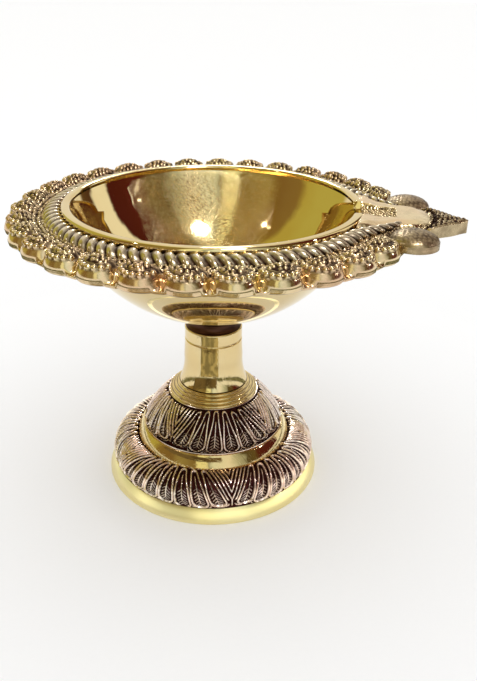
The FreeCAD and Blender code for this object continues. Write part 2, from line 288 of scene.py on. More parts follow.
class Nodes:
    """Adds and joins shader nodes in one tree."""

    def __init__(self, tree: bpy.types.NodeTree) -> None:
        """Starts from a tree, which it empties."""
        self.tree = tree
        tree.nodes.clear()

    def add(self, kind: str, inputs: dict[str | int, Fed] | None = None,
            **settings: object) -> bpy.types.Node:
        """Adds a node.

        Args:
            kind: The node's type.
            inputs: Socket name or number to a value, or to the output socket that feeds it.
            **settings: The node's own properties.

        Returns:
            The node.
        """
        node = self.tree.nodes.new(kind)
        for name, value in settings.items():
            setattr(node, name, value)
        for name, value in (inputs or {}).items():
            if isinstance(value, bpy.types.NodeSocket):
                self.tree.links.new(value, node.inputs[name])
            else:
                node.inputs[name].default_value = value
        return node

    def math(self, operation: str, first: Fed, second: Fed = 0.0,
             clamp: bool = False) -> bpy.types.NodeSocket:
        """The result of a sum on two values."""
        node = self.add("ShaderNodeMath", {0: first, 1: second}, operation=operation, use_clamp=clamp)
        return node.outputs[0]

    def mix(self, factor: Fed, first: Fed, second: Fed) -> bpy.types.NodeSocket:
        """A blend of two colours."""
        node = self.add("ShaderNodeMix", {0: factor, 6: first, 7: second}, data_type="RGBA")
        return node.outputs[2]

    def remap(self, value: Fed, low: float, high: float, new_low: float,
              new_high: float) -> bpy.types.NodeSocket:
        """A value moved from one range to another, kept inside the new one."""
        inputs = {0: value, 1: low, 2: high, 3: new_low, 4: new_high}
        return self.add("ShaderNodeMapRange", inputs, clamp=True).outputs[0]


def group_tree(name: str, inputs: dict[str, float],
               outputs: tuple[str, ...]) -> tuple[Nodes, dict[str, bpy.types.NodeSocket]]:
    """A new node group with plain number sockets.

    Args:
        name: The group's name.
        inputs: Input names and their default values.
        outputs: Output names.

    Returns:
        The group's nodes, and its input sockets by name.
    """
    tree = bpy.data.node_groups.new(name, "ShaderNodeTree")
    nodes = Nodes(tree)
    for label, start in inputs.items():
        socket = tree.interface.new_socket(label, in_out="INPUT", socket_type="NodeSocketFloat")
        socket.default_value = start
    for label in outputs:
        tree.interface.new_socket(label, in_out="OUTPUT", socket_type="NodeSocketFloat")
    entry = nodes.add("NodeGroupInput")
    return nodes, {label: entry.outputs[label] for label in inputs}


def object_place(nodes: Nodes) -> bpy.types.NodeSocket:
    """The piece's own coordinates."""
    return nodes.add("ShaderNodeTexCoord").outputs["Object"]


def new_material(name: str) -> tuple[bpy.types.Material, Nodes]:
    """A material with an empty node tree.

    Args:
        name: The material's name.

    Returns:
        The material and its nodes.
    """
    made = bpy.data.materials.new(name)
    made.use_nodes = True
    return made, Nodes(made.node_tree)


def mottle_group() -> bpy.types.NodeTree:
    """Cloudy variation of a hand-polished surface: a broad cloud and a fine one, 0 to 1.

    Returns:
        The group.
    """
    nodes, given = group_tree("mottle", {"Broad": 60.0, "Fine": 600.0}, ("Cloud", "Specks"))
    place = object_place(nodes)
    broad = nodes.add("ShaderNodeTexNoise", {"Vector": place, "Scale": given["Broad"], "Detail": 3.0})
    fine = nodes.add("ShaderNodeTexNoise", {"Vector": place, "Scale": given["Fine"], "Detail": 4.0})
    cloud = nodes.remap(broad.outputs[0], 0.35, 0.65, 0.0, 1.0)
    specks = nodes.remap(fine.outputs[0], 0.45, 0.7, 0.0, 1.0)
    nodes.add("NodeGroupOutput", {"Cloud": cloud, "Specks": specks})
    return nodes.tree


def scratch_group() -> bpy.types.NodeTree:
    """Fine crossing scratches of buffing, as a height and as a mask.

    Returns:
        The group.
    """
    nodes, given = group_tree("scratches", {"Scale": 300.0, "Amount": 1.0}, ("Height", "Mask"))
    place = object_place(nodes)
    strokes = None
    for turn, stretch in ((0.3, 14.0), (1.4, 11.0), (2.5, 17.0)):
        turned = nodes.add("ShaderNodeMapping", {"Vector": place, "Rotation": (turn, turn * 0.7, turn),
                                                 "Scale": (1.0, stretch, 1.0)})
        grain = nodes.add("ShaderNodeTexNoise", {"Vector": turned.outputs[0], "Scale": given["Scale"],
                                                 "Detail": 2.0})
        stroke = nodes.remap(grain.outputs[0], 0.62, 0.74, 0.0, 1.0)
        strokes = stroke if strokes is None else nodes.math("MAXIMUM", strokes, stroke)
    mask = nodes.math("MULTIPLY", strokes, given["Amount"])
    nodes.add("NodeGroupOutput", {"Height": nodes.math("MULTIPLY", mask, -1.0), "Mask": mask})
    return nodes.tree


def patina_group() -> bpy.types.NodeTree:
    """How bright the metal is: rubbed on the raised lines, dark in the hollows and where a piece paints
    shade, uneven between.

    Returns:
        The group.
    """
    nodes, given = group_tree("patina", {"Relief_and_shade": 1.0, "Low": 0.3, "High": 0.7, "Grime": 0.3}, ("Bright",))
    place = object_place(nodes)
    dirt = nodes.add("ShaderNodeTexNoise", {"Vector": place, "Scale": 420.0, "Detail": 4.0})
    uneven = nodes.math("MULTIPLY", nodes.math("SUBTRACT", dirt.outputs[0], 0.5), given["Grime"])
    raised = nodes.math("ADD", given["Relief_and_shade"], uneven)
    span = nodes.math("SUBTRACT", given["High"], given["Low"])
    share = nodes.math("DIVIDE", nodes.math("SUBTRACT", raised, given["Low"]), span, clamp=True)
    nodes.add("NodeGroupOutput", {"Bright": share})
    return nodes.tree


@dataclass(frozen=True)
class Brass:
    """A brass finish: clean metal where it is rubbed, patina where it is not, and painted shade where a
    piece darkens its values.
    """

    name: str
    clean: Colour = (0.80, 0.66, 0.37)
    warm: Colour = (0.76, 0.58, 0.28)
    # dark: the patina in the hollows, and also the colour of painted shade
    dark: Colour = (0.045, 0.020, 0.012)
    roughness: float = 0.09
    dark_roughness: float = 0.45
    cloud_roughness: float = 0.06
    patina_low: float = 0.25
    patina_high: float = 0.65
    grime: float = 0.25
    scratch_scale: float = 260.0
    scratch_amount: float = 0.5
    speck_share: float = 0.3
    bump_depth: float = 0.00003
    scratch_zone: bool = False
    zone_roughness: float = 0.06
    scratch_roughness: float = 0.16
    bump_strength: float = 0.6

    def material(self, groups: dict[str, bpy.types.NodeTree]) -> bpy.types.Material:
        """Builds the material.

        Args:
            groups: The shared node groups by name.

        Returns:
            The material.
        """
        made, nodes = new_material(self.name)
        relief_and_shade = nodes.add("ShaderNodeAttribute", attribute_name="relief_and_shade").outputs["Fac"]
        patina = nodes.add("ShaderNodeGroup", {}, node_tree=groups["patina"])
        nodes.tree.links.new(relief_and_shade, patina.inputs["Relief_and_shade"])
        patina.inputs["Low"].default_value = self.patina_low
        patina.inputs["High"].default_value = self.patina_high
        patina.inputs["Grime"].default_value = self.grime
        bright = patina.outputs["Bright"]
        mottle = nodes.add("ShaderNodeGroup", {}, node_tree=groups["mottle"])
        scratch = nodes.add("ShaderNodeGroup", {}, node_tree=groups["scratches"])
        scratch.inputs["Scale"].default_value = self.scratch_scale
        scratch.inputs["Amount"].default_value = self.scratch_amount
        metal = nodes.mix(mottle.outputs["Cloud"], (*self.clean, 1.0), (*self.warm, 1.0))
        # Low brightness turns the metal to the dark colour: patina in the hollows, and painted shade where a
        # piece paints it.
        colour = nodes.mix(bright, (*self.dark, 1.0), metal)
        rubbed = nodes.math("MULTIPLY", mottle.outputs["Cloud"], self.cloud_roughness)
        rubbed = nodes.math("ADD", rubbed, self.roughness)
        mask, depth = scratch.outputs["Mask"], scratch.outputs["Height"]
        if self.scratch_zone:
            zone = nodes.add("ShaderNodeAttribute", attribute_name="zone").outputs["Fac"]
            mask, depth = nodes.math("MULTIPLY", mask, zone), nodes.math("MULTIPLY", depth, zone)
            rubbed = nodes.math("ADD", rubbed, nodes.math("MULTIPLY", zone, self.zone_roughness))
        rubbed = nodes.math("ADD", rubbed, nodes.math("MULTIPLY", mask, self.scratch_roughness))
        rough = nodes.add("ShaderNodeMix", {0: bright, 2: self.dark_roughness, 3: rubbed}, data_type="FLOAT")
        height = nodes.math("ADD", depth, nodes.math("MULTIPLY", mottle.outputs["Specks"], self.speck_share))
        bump = nodes.add("ShaderNodeBump", {
            "Height": height, "Distance": self.bump_depth, "Strength": self.bump_strength,
        })
        shader = nodes.add("ShaderNodeBsdfPrincipled", {
            "Base Color": colour, "Metallic": 1.0, "Roughness": rough.outputs[0],
            "Normal": bump.outputs[0],
        })
        nodes.add("ShaderNodeOutputMaterial", {"Surface": shader.outputs[0]})
        return made


@dataclass(frozen=True)
class ScrewSteel:
    """Plain brushed steel of the washer and the tie screw."""

    name: str = "screw_steel"
    colour: Colour = (0.52, 0.52, 0.54)

    def material(self, groups: dict[str, bpy.types.NodeTree]) -> bpy.types.Material:
        """Builds the material from the shared node groups.

        Args:
            groups: The shared node groups by name.

        Returns:
            The material.
        """
        made, nodes = new_material(self.name)
        mottle = nodes.add("ShaderNodeGroup", {}, node_tree=groups["mottle"])
        scratch = nodes.add("ShaderNodeGroup", {}, node_tree=groups["scratches"])
        dull = tuple(0.55 * c for c in self.colour)
        colour = nodes.mix(mottle.outputs["Cloud"], (*self.colour, 1.0), (*dull, 1.0))
        rough = nodes.remap(mottle.outputs["Specks"], 0.0, 1.0, 0.3, 0.5)
        bump = nodes.add("ShaderNodeBump", {"Height": scratch.outputs["Height"], "Distance": 0.00003})
        shader = nodes.add("ShaderNodeBsdfPrincipled", {
            "Base Color": colour, "Metallic": 1.0, "Roughness": rough, "Normal": bump.outputs[0],
        })
        nodes.add("ShaderNodeOutputMaterial", {"Surface": shader.outputs[0]})
        return made


# ---------------------------------------------------------------- dish


@dataclass(frozen=True)
class DishSizes:
    """Sizes that the dish's pieces share, in millimetres."""

    lip: float
    bottom: float
    tip: float
    neck_top: float
    bowl_radius: float = 38.0
    side_radius: float = 22.0
    wall: float = 2.0
    lip_round: float = 0.75
    rim_drop: float = 2.8
    rim_base_drop: float = 5.9
    rope_width: float = 4.4
    lobe_first: float = 28.0
    lobe_gaps: int = 26
    lobe_reach: float = 8.4
    lobe_radius: float = 5.1
    channel_start: float = 31.0
    channel_start_half: float = 5.7
    channel_end: float = 47.6
    channel_end_half: float = 4.0
    channel_drop: float = 1.75

    @classmethod
    def read(cls) -> "DishSizes":
        """Reads the dish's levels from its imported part.

        Returns:
            The sizes.
        """
        low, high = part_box("dish")
        neck_top = low[2] / MM
        return cls(lip=high[2] / MM, bottom=neck_top + 0.9, tip=high[0] / MM, neck_top=neck_top)

    @property
    def floor_radius(self) -> float:
        """Radius of the bowl's floor arc, which runs smoothly into the side arc.

        Returns:
            The radius, in millimetres.
        """
        depth = self.lip - self.bottom
        top = self.bowl_radius**2 - 2 * self.bowl_radius * self.side_radius + depth**2
        return top / (2 * depth - 2 * self.side_radius)

    @property
    def floor_centre(self) -> float:
        """Height of the floor arc's centre on the axis."""
        return self.bottom + self.floor_radius

    @property
    def side_centre(self) -> float:
        """Distance of the side arc's centre from the axis."""
        return self.bowl_radius - self.side_radius

    @property
    def joint_angle(self) -> float:
        """Direction in degrees in which the two arcs meet."""
        return math.degrees(math.atan2(self.lip - self.floor_centre, self.side_centre))

    @property
    def rim_level(self) -> float:
        """Height of the rim's flat top."""
        return self.lip - self.rim_drop

    @property
    def lobe_pitch(self) -> float:
        """Angle from one lobe to the next."""
        return (360.0 - 2 * self.lobe_first) / self.lobe_gaps

    def channel_limit(self, x: np.ndarray, y: np.ndarray) -> np.ndarray:
        """Height that the wick channel leaves at each place: a trough with soft sides.

        Args:
            x: Distance from the axis towards the spout.
            y: Distance to the side.

        Returns:
            The height, far above the lip outside the channel.
        """
        along = np.clip((x - self.channel_start) / (self.channel_end - self.channel_start), 0.0, 1.0)
        half = self.channel_start_half + (self.channel_end_half - self.channel_start_half) * along
        sides = smooth(0.82, 1.10, np.abs(y) / half)
        ends = smooth(self.channel_end - 3.5, self.channel_end + 0.8, x)
        closed = np.maximum(sides, ends)
        limit = self.lip - self.channel_drop * (1.0 - closed) + 0.6 * closed
        return np.where((closed >= 1.0) | (x < 0), self.lip + 50.0, limit)


@dataclass
class Bowl:
    """The polished bowl and the dark boss under it."""

    sizes: DishSizes
    steps: int = 540
    boss_radius: float = 7.7
    boss_top_radius: float = 7.2
    bore_radius: float = 4.55
    bore_depth: float = 2.1
    lean: float = 1.4
    lean_from: float = 1.4
    lean_soft: float = 3.0
    lean_end: float = 24.0
    lean_fade: float = 18.0
    worn_side: float = 105.0

    def section(self) -> Section:
        """Half section of the shell, from the bore under the floor round the lip to the floor.

        Returns:
            The section, as points of distance from the axis and height.
        """
        s = self.sizes
        start = -90 + math.degrees(math.asin(self.bore_radius / s.floor_radius))
        bore_end = s.neck_top + self.bore_depth
        inner_floor, inner_side = s.floor_radius - s.wall, s.side_radius - s.wall
        outer = arc(0, s.floor_centre, s.floor_radius, start, s.joint_angle, 34)
        outer += arc(s.side_centre, s.lip, s.side_radius, s.joint_angle, -3.0, 18)[1:]
        lip_centre = s.bowl_radius - s.lip_round
        inner_lip = s.bowl_radius - s.wall - 0.35
        top = arc(lip_centre, s.lip - s.lip_round, s.lip_round, 0, 90, 6)
        top += arc(inner_lip + s.lip_round, s.lip - s.lip_round, s.lip_round, 90, 165, 6)
        inner = arc(s.side_centre, s.lip, inner_side, -4.0, s.joint_angle, 26)
        inner += arc(0, s.floor_centre, inner_floor, s.joint_angle, -90, 44)[1:]
        inner = [(self.flared(r, z), z) for r, z in inner]
        return [(0.0, bore_end), (self.bore_radius, bore_end)] + outer + top + inner

    def flared(self, radius: float, level: float) -> float:
        """The inner wall's radius, which leans in a little faster under the lip than the outer one.

        Args:
            radius: Radius of the plain inner wall.
            level: Its height.

        Returns:
            The radius with the lean.
        """
        depth = max(0.0, self.sizes.lip - self.lean_from - level)
        fade = min(1.0, max(0.0, (self.lean_end - depth) / self.lean_fade))
        return radius - min(radius, self.lean * (1.0 - math.exp(-depth / self.lean_soft)) * fade)

    def cut_channel(self, points: np.ndarray) -> Shaped:
        """Lowers the lip where the wick channel leaves the bowl.

        Args:
            points: The piece's points, in millimetres.

        Returns:
            The moved points, and the named values for each point.
        """
        x, y, z = points.T
        limit = self.sizes.channel_limit(x, y)
        moved = points.copy()
        moved[:, 2] = np.minimum(z, limit)
        away = np.hypot(x, y)
        hollow = self.sizes.floor_radius - self.sizes.wall
        inside = np.hypot(away, z - self.sizes.floor_centre) < hollow + 0.4
        from_back = np.abs((np.degrees(np.arctan2(y, x)) - self.worn_side + 180.0) % 360.0 - 180.0)
        worn = smooth(42.0, 20.0, from_back) * smooth(4.0, 9.0, away)
        rubbed = inside * smooth(self.sizes.lip - 1.0, self.sizes.lip - 5.0, z) * worn
        return moved, {"relief_and_shade": np.ones(len(points)), "zone": rubbed}

    def boss_section(self) -> Section:
        """Half section of the boss that flares from the neck up to the bowl.

        Returns:
            The section, as points of distance from the axis and height.
        """
        s = self.sizes
        flare = bowed((self.boss_top_radius, s.neck_top), (self.boss_radius, s.bottom), -0.12, 6)
        return flare + [
            (self.boss_radius, s.bottom + 1.1),
            (self.bore_radius, s.bottom + 0.5),
            (self.bore_radius, s.neck_top),
        ]

    def build(self, polished: bpy.types.Material, dark: bpy.types.Material) -> None:
        """Makes the shell and its boss.

        Args:
            polished: Finish of the bowl.
            dark: Finish of the boss, a dark colour painted for the shaded underside of the bowl that it
                reflects.
        """
        shell = spun("bowl_shell", self.section(), self.steps)
        reshape(shell, self.cut_channel)
        install(shell, Body.DISH, "dish", polished)
        boss = spun("dish_boss", self.boss_section(), 180)
        reshape(boss, plain)
        install(boss, Body.DISH, "dish", dark)


@dataclass
class RimBand:
    """The flat rim: stippled field, beaded scallops and their smooth sides."""

    sizes: DishSizes
    steps: int = 1296
    inner_radius: float = 37.0
    stretch_from: float = 45.6
    nominal_edge: float = 50.0
    ring_radius: float = 47.6
    low_radius: float = 50.3
    nub_pitch: float = 1.2
    nub_radius: float = 0.56
    nub_rise: float = 0.6
    nub_ring: float = 45.0
    dome_foot: float = 75.35
    dome_height: float = 4.0
    dome_radius: float = 5.2
    bead_ring: float = 3.95
    bead_radius: float = 0.72
    bead_rise: float = 0.6
    beads_each: int = 7
    bead_span: float = 150.0
    bead_fade: tuple[float, float] = (98.0, 84.0)
    lobe_half: float = 20.0
    field_opens: tuple[float, float] = (18.0, 20.5)
    dome_blend: tuple[float, float] = (43.4, 47.0)
    edge_fall: float = 46.2
    valley_power: float = 0.95
    moat_depth: float = 0.6
    crease_depth: float = 0.4

    def section(self) -> Section:
        """Half section of the rim before its edge is scalloped.

        Returns:
            The section, as points of distance from the axis and height.
        """
        top, low = self.sizes.rim_level, self.sizes.lip - self.sizes.rim_base_drop
        edge = self.nominal_edge
        face = line((self.inner_radius + 4.0, top), (self.stretch_from, top), 22)
        face += line((self.stretch_from, top), (edge - 0.35, top), 30)[1:]
        side = arc(edge - 0.4, top - 0.4, 0.4, 65, 0, 3)
        side += line((edge, top - 0.9), (edge - 0.1, low + 1.0), 4)
        round_low = arc(edge - 1.1, low + 1.0, 1.0, -15, -90, 4)
        under = line((edge - 2.2, low), (self.inner_radius + 1.2, low + 0.6), 6)
        return [(self.inner_radius, top)] + face + side + round_low + under

    def outline(self, turn: np.ndarray) -> tuple[np.ndarray, np.ndarray]:
        """Radius of the scalloped edge.

        Args:
            turn: Angles in degrees, 0 to 360, from the spout.

        Returns:
            The radius, and how far each angle is from its lobe's middle, in degrees.
        """
        s = self.sizes
        lobe = np.clip(np.round((turn - s.lobe_first) / s.lobe_pitch), 0, s.lobe_gaps)
        off = turn - (s.lobe_first + lobe * s.lobe_pitch)
        centre = s.bowl_radius + s.lobe_reach
        across = centre * np.sin(np.radians(off))
        inside = np.clip(s.lobe_radius**2 - across**2, 0.0, None)
        reach = centre * np.cos(np.radians(off)) + np.sqrt(inside)
        on_lobe = (inside > 0) & (np.abs(off) < self.lobe_half)
        return np.where(on_lobe, np.maximum(reach, self.ring_radius), self.ring_radius), off

    def shape(self, points: np.ndarray) -> Shaped:
        """Scallops the edge and raises the stipple, the lobes and the beads.

        Args:
            points: The piece's points, in millimetres.

        Returns:
            The moved points, and the named values for each point.
        """
        s = self.sizes
        x, y, z = points.T
        turn = np.degrees(np.arctan2(y, x)) % 360.0
        nominal = np.hypot(x, y)
        edge, off = self.outline(turn)
        has_lobe = np.abs(off) < self.lobe_half
        full_edge = np.where(has_lobe, np.maximum(edge, self.low_radius), edge)
        share_low = smooth(s.rim_level - 0.2, s.rim_level - 1.2, z)
        edge_here = edge + (full_edge - edge) * share_low
        grow = (edge_here - self.stretch_from) / (self.nominal_edge - self.stretch_from)
        radius = np.where(nominal > self.stretch_from,
                          self.stretch_from + (nominal - self.stretch_from) * grow, nominal)
        from_spout = np.minimum(turn, 360.0 - turn)
        open_field = smooth(*self.field_opens, from_spout)
        low = s.lip - s.rim_base_drop
        share_up = np.clip((z - low) / (s.rim_level - low), 0.0, 1.0)
        centre = s.bowl_radius + s.lobe_reach
        out = radius * np.cos(np.radians(off)) - centre
        side = radius * np.sin(np.radians(off))
        away = np.hypot(out, side)
        bend = np.degrees(np.arctan2(side, out))
        round_share = np.clip(away / self.dome_radius, 0.0, 0.999)
        dome = self.dome_foot + self.dome_height * np.sqrt(1.0 - round_share**2)
        edge_drop = smooth(self.edge_fall, edge - 0.1, radius)
        field_top = s.rim_level - (s.rim_level - self.dome_foot) * edge_drop
        above = np.where(has_lobe, np.maximum(dome - field_top, 0.0), 0.0)
        top = field_top + above * smooth(*self.dome_blend, radius)
        top = top * open_field + (s.rim_level - 0.8) * (1.0 - open_field)
        on_dome = has_lobe * smooth(-0.15, 0.15, dome - field_top)
        on_top = smooth(0.74, 0.9, share_up)
        field_start = s.bowl_radius + s.rope_width
        band = smooth(field_start - 0.8, field_start - 0.3, radius)
        step = self.bead_span / self.beads_each
        nearest = np.clip(np.round(bend / step), -self.beads_each // 2, self.beads_each // 2)
        bead_off = np.radians(bend - nearest * step) * away
        steep = self.dome_height * round_share / self.dome_radius / np.sqrt(1.0 - round_share**2)
        bead_away = np.hypot(bead_off, (away - self.bead_ring) * np.sqrt(1.0 + steep**2))
        bead = np.sqrt(np.clip(1.0 - (bead_away / self.bead_radius) ** 2, 0.0, 1.0)) * has_lobe
        bead_zone = smooth(self.bead_ring - 1.15, self.bead_ring - 0.75, away) * has_lobe
        bead_zone = bead_zone * smooth(*self.bead_fade, np.abs(bend))
        stipple = nubs(np.radians(turn) * self.nub_ring, radius, self.nub_pitch, self.nub_radius, 3.0)
        stipple *= smooth(0.0, 0.25, stipple + 0.2)
        outside = smooth(self.bead_ring + 0.2, self.bead_ring + 0.75, away) * has_lobe
        rough_zone = band * (1.0 - bead_zone) * (1.0 - 0.25 * on_dome)
        lift = stipple * rough_zone * self.nub_rise * open_field * on_top
        push = bead * self.bead_rise * open_field * on_top
        slope = np.clip(away / self.dome_radius, 0.0, 1.0) * 0.75
        heading = np.radians(turn)
        outwards = np.radians(turn - off) + np.radians(bend)
        move_x = np.cos(outwards) * push * slope
        move_y = np.sin(outwards) * push * slope
        new_z = low + (z - low) * np.where(z > low, (top - low) / (s.rim_level - low), 1.0)
        moved = np.stack([radius * np.cos(heading) + move_x, radius * np.sin(heading) + move_y,
                          new_z + lift + push * np.sqrt(1.0 - slope**2)], axis=1)
        valley = rough_zone * (1.0 - stipple) ** self.valley_power
        moat = bead_zone * (1.0 - outside) * (1.0 - smooth(0.1, 0.55, bead))
        crease = smooth(0.35, 0.0, np.abs(dome - field_top)) * has_lobe * smooth(47.0, 48.0, radius)
        hollows = np.maximum.reduce([valley, self.moat_depth * moat, self.crease_depth * crease])
        relief_and_shade = 1.0 - open_field * on_top * hollows
        # Painted shade: the bottom quarter of the rim's outer side is darkened.
        relief_and_shade = np.minimum(relief_and_shade, 1.0 - 0.6 * smooth(0.25, 0.0, share_up) * (nominal > 45))
        return moved, {"relief_and_shade": relief_and_shade}

    def build(self, finish: bpy.types.Material) -> None:
        """Makes the rim with its finish.

        Args:
            finish: The finish.
        """
        mesh = spun("rim_band", self.section(), self.steps)
        reshape(mesh, self.shape)
        install(mesh, Body.DISH, "dish", finish)


@dataclass
class RopeBorder:
    """The twisted rope that runs round the lip and out along both banks of the spout."""

    sizes: DishSizes
    strands: int = 88
    steps_each: int = 12
    round_points: int = 22
    half_width: float = 2.45
    half_height: float = 1.65
    groove: float = 0.48
    drop: float = 2.35
    tilt: float = 0.3
    turn_off: float = 25.0
    end: tuple[float, float] = (46.6, 7.2)
    sweep: float = 350.0
    blank_radius: float = 100.0
    path_points: int = 1600
    twist: float = 0.95
    end_share: float = 0.38
    end_strands: float = 7.0
    smooth_length: float = 3.0

    def path(self, count: int) -> np.ndarray:
        """Evenly spaced points along the rope's middle, from one bank round to the other.

        Args:
            count: How many points.

        Returns:
            Rows of x and y.
        """
        radius = self.sizes.bowl_radius + self.sizes.rope_width / 2 - 0.05
        turns = np.radians(np.linspace(self.turn_off, 360.0 - self.turn_off, 400))
        ring = np.stack([radius * np.cos(turns), radius * np.sin(turns)], axis=1)
        end = np.array(self.end)
        other = end * (1.0, -1.0)
        share = np.linspace(0.0, 1.0, 40)[:, None]
        leading = end + (ring[0] - end) * share[:-1]
        trailing = ring[-1] + (other - ring[-1]) * share[1:]
        rough = np.vstack([leading, ring, trailing])
        lengths = np.r_[0.0, np.cumsum(np.hypot(*np.diff(rough, axis=0).T))]
        even = np.linspace(0.0, lengths[-1], count)
        line_points = np.stack([np.interp(even, lengths, rough[:, i]) for i in (0, 1)], axis=1)
        window = max(3, int(self.smooth_length / (lengths[-1] / count)) | 1)
        padded = np.pad(line_points, ((window // 2, window // 2), (0, 0)), mode="edge")
        kernel = np.ones(window) / window
        return np.stack([np.convolve(padded[:, i], kernel, mode="valid") for i in (0, 1)], axis=1)

    def shape(self, points: np.ndarray) -> Shaped:
        """Bends the plain ring along the rope's line and cuts the grooves between its strands.

        Args:
            points: The piece's points, in millimetres.

        Returns:
            The moved points, and the named values for each point.
        """
        s = self.sizes
        x, y, z = points.T
        share = np.clip((np.degrees(np.arctan2(y, x)) % 360.0) / self.sweep, 0.0, 1.0)
        share = np.where(share > 1.0 - 1e-6, 1.0, share)
        out = np.hypot(x, y) - self.blank_radius
        around = np.arctan2(z, out)
        count = self.path_points
        middle = self.path(count)
        heading = np.gradient(middle, axis=0)
        heading /= np.hypot(*heading.T)[:, None]
        normal = np.stack([heading[:, 1], -heading[:, 0]], axis=1)
        at = share * (count - 1)
        place = np.stack([np.interp(at, np.arange(count), middle[:, i]) for i in (0, 1)], axis=1)
        side = np.stack([np.interp(at, np.arange(count), normal[:, i]) for i in (0, 1)], axis=1)
        phase = share * self.strands + around / math.pi * self.twist
        ridge = np.abs(np.sin(math.pi * phase)) ** 0.75
        near_end = np.minimum(share, 1.0 - share) * self.strands
        taper = self.end_share + (1.0 - self.end_share) * smooth(0.0, self.end_strands, near_end)
        swell = (1.0 - self.groove * (1.0 - ridge)) * taper
        across = np.cos(around) * self.half_width * swell
        up = np.sin(around) * self.half_height * swell
        lateral = across * math.cos(self.tilt) + up * math.sin(self.tilt)
        rise = up * math.cos(self.tilt) - across * math.sin(self.tilt)
        level = s.lip - self.drop + 0.9 * smooth(9.0, 0.0, near_end)
        moved = np.empty_like(points)
        moved[:, :2] = place + side * lateral[:, None]
        moved[:, 2] = level + rise
        # Painted shade: the lower side of the rope is darkened; the grooves between strands hold dark
        # patina.
        return moved, {"relief_and_shade": ridge**1.3 * smooth(-0.6, 0.5, np.sin(around))}

    def build(self, finish: bpy.types.Material) -> None:
        """Makes the rope with its finish.

        Args:
            finish: The finish.
        """
        ring = arc(self.blank_radius, 0.0, 1.0, 0.0, 360.0, self.round_points + 1)[:-1]
        mesh = spun("rope_border", ring, self.strands * self.steps_each, sweep=self.sweep)
        reshape(mesh, self.shape)
        install(mesh, Body.DISH, "dish", finish, crease=70.0)


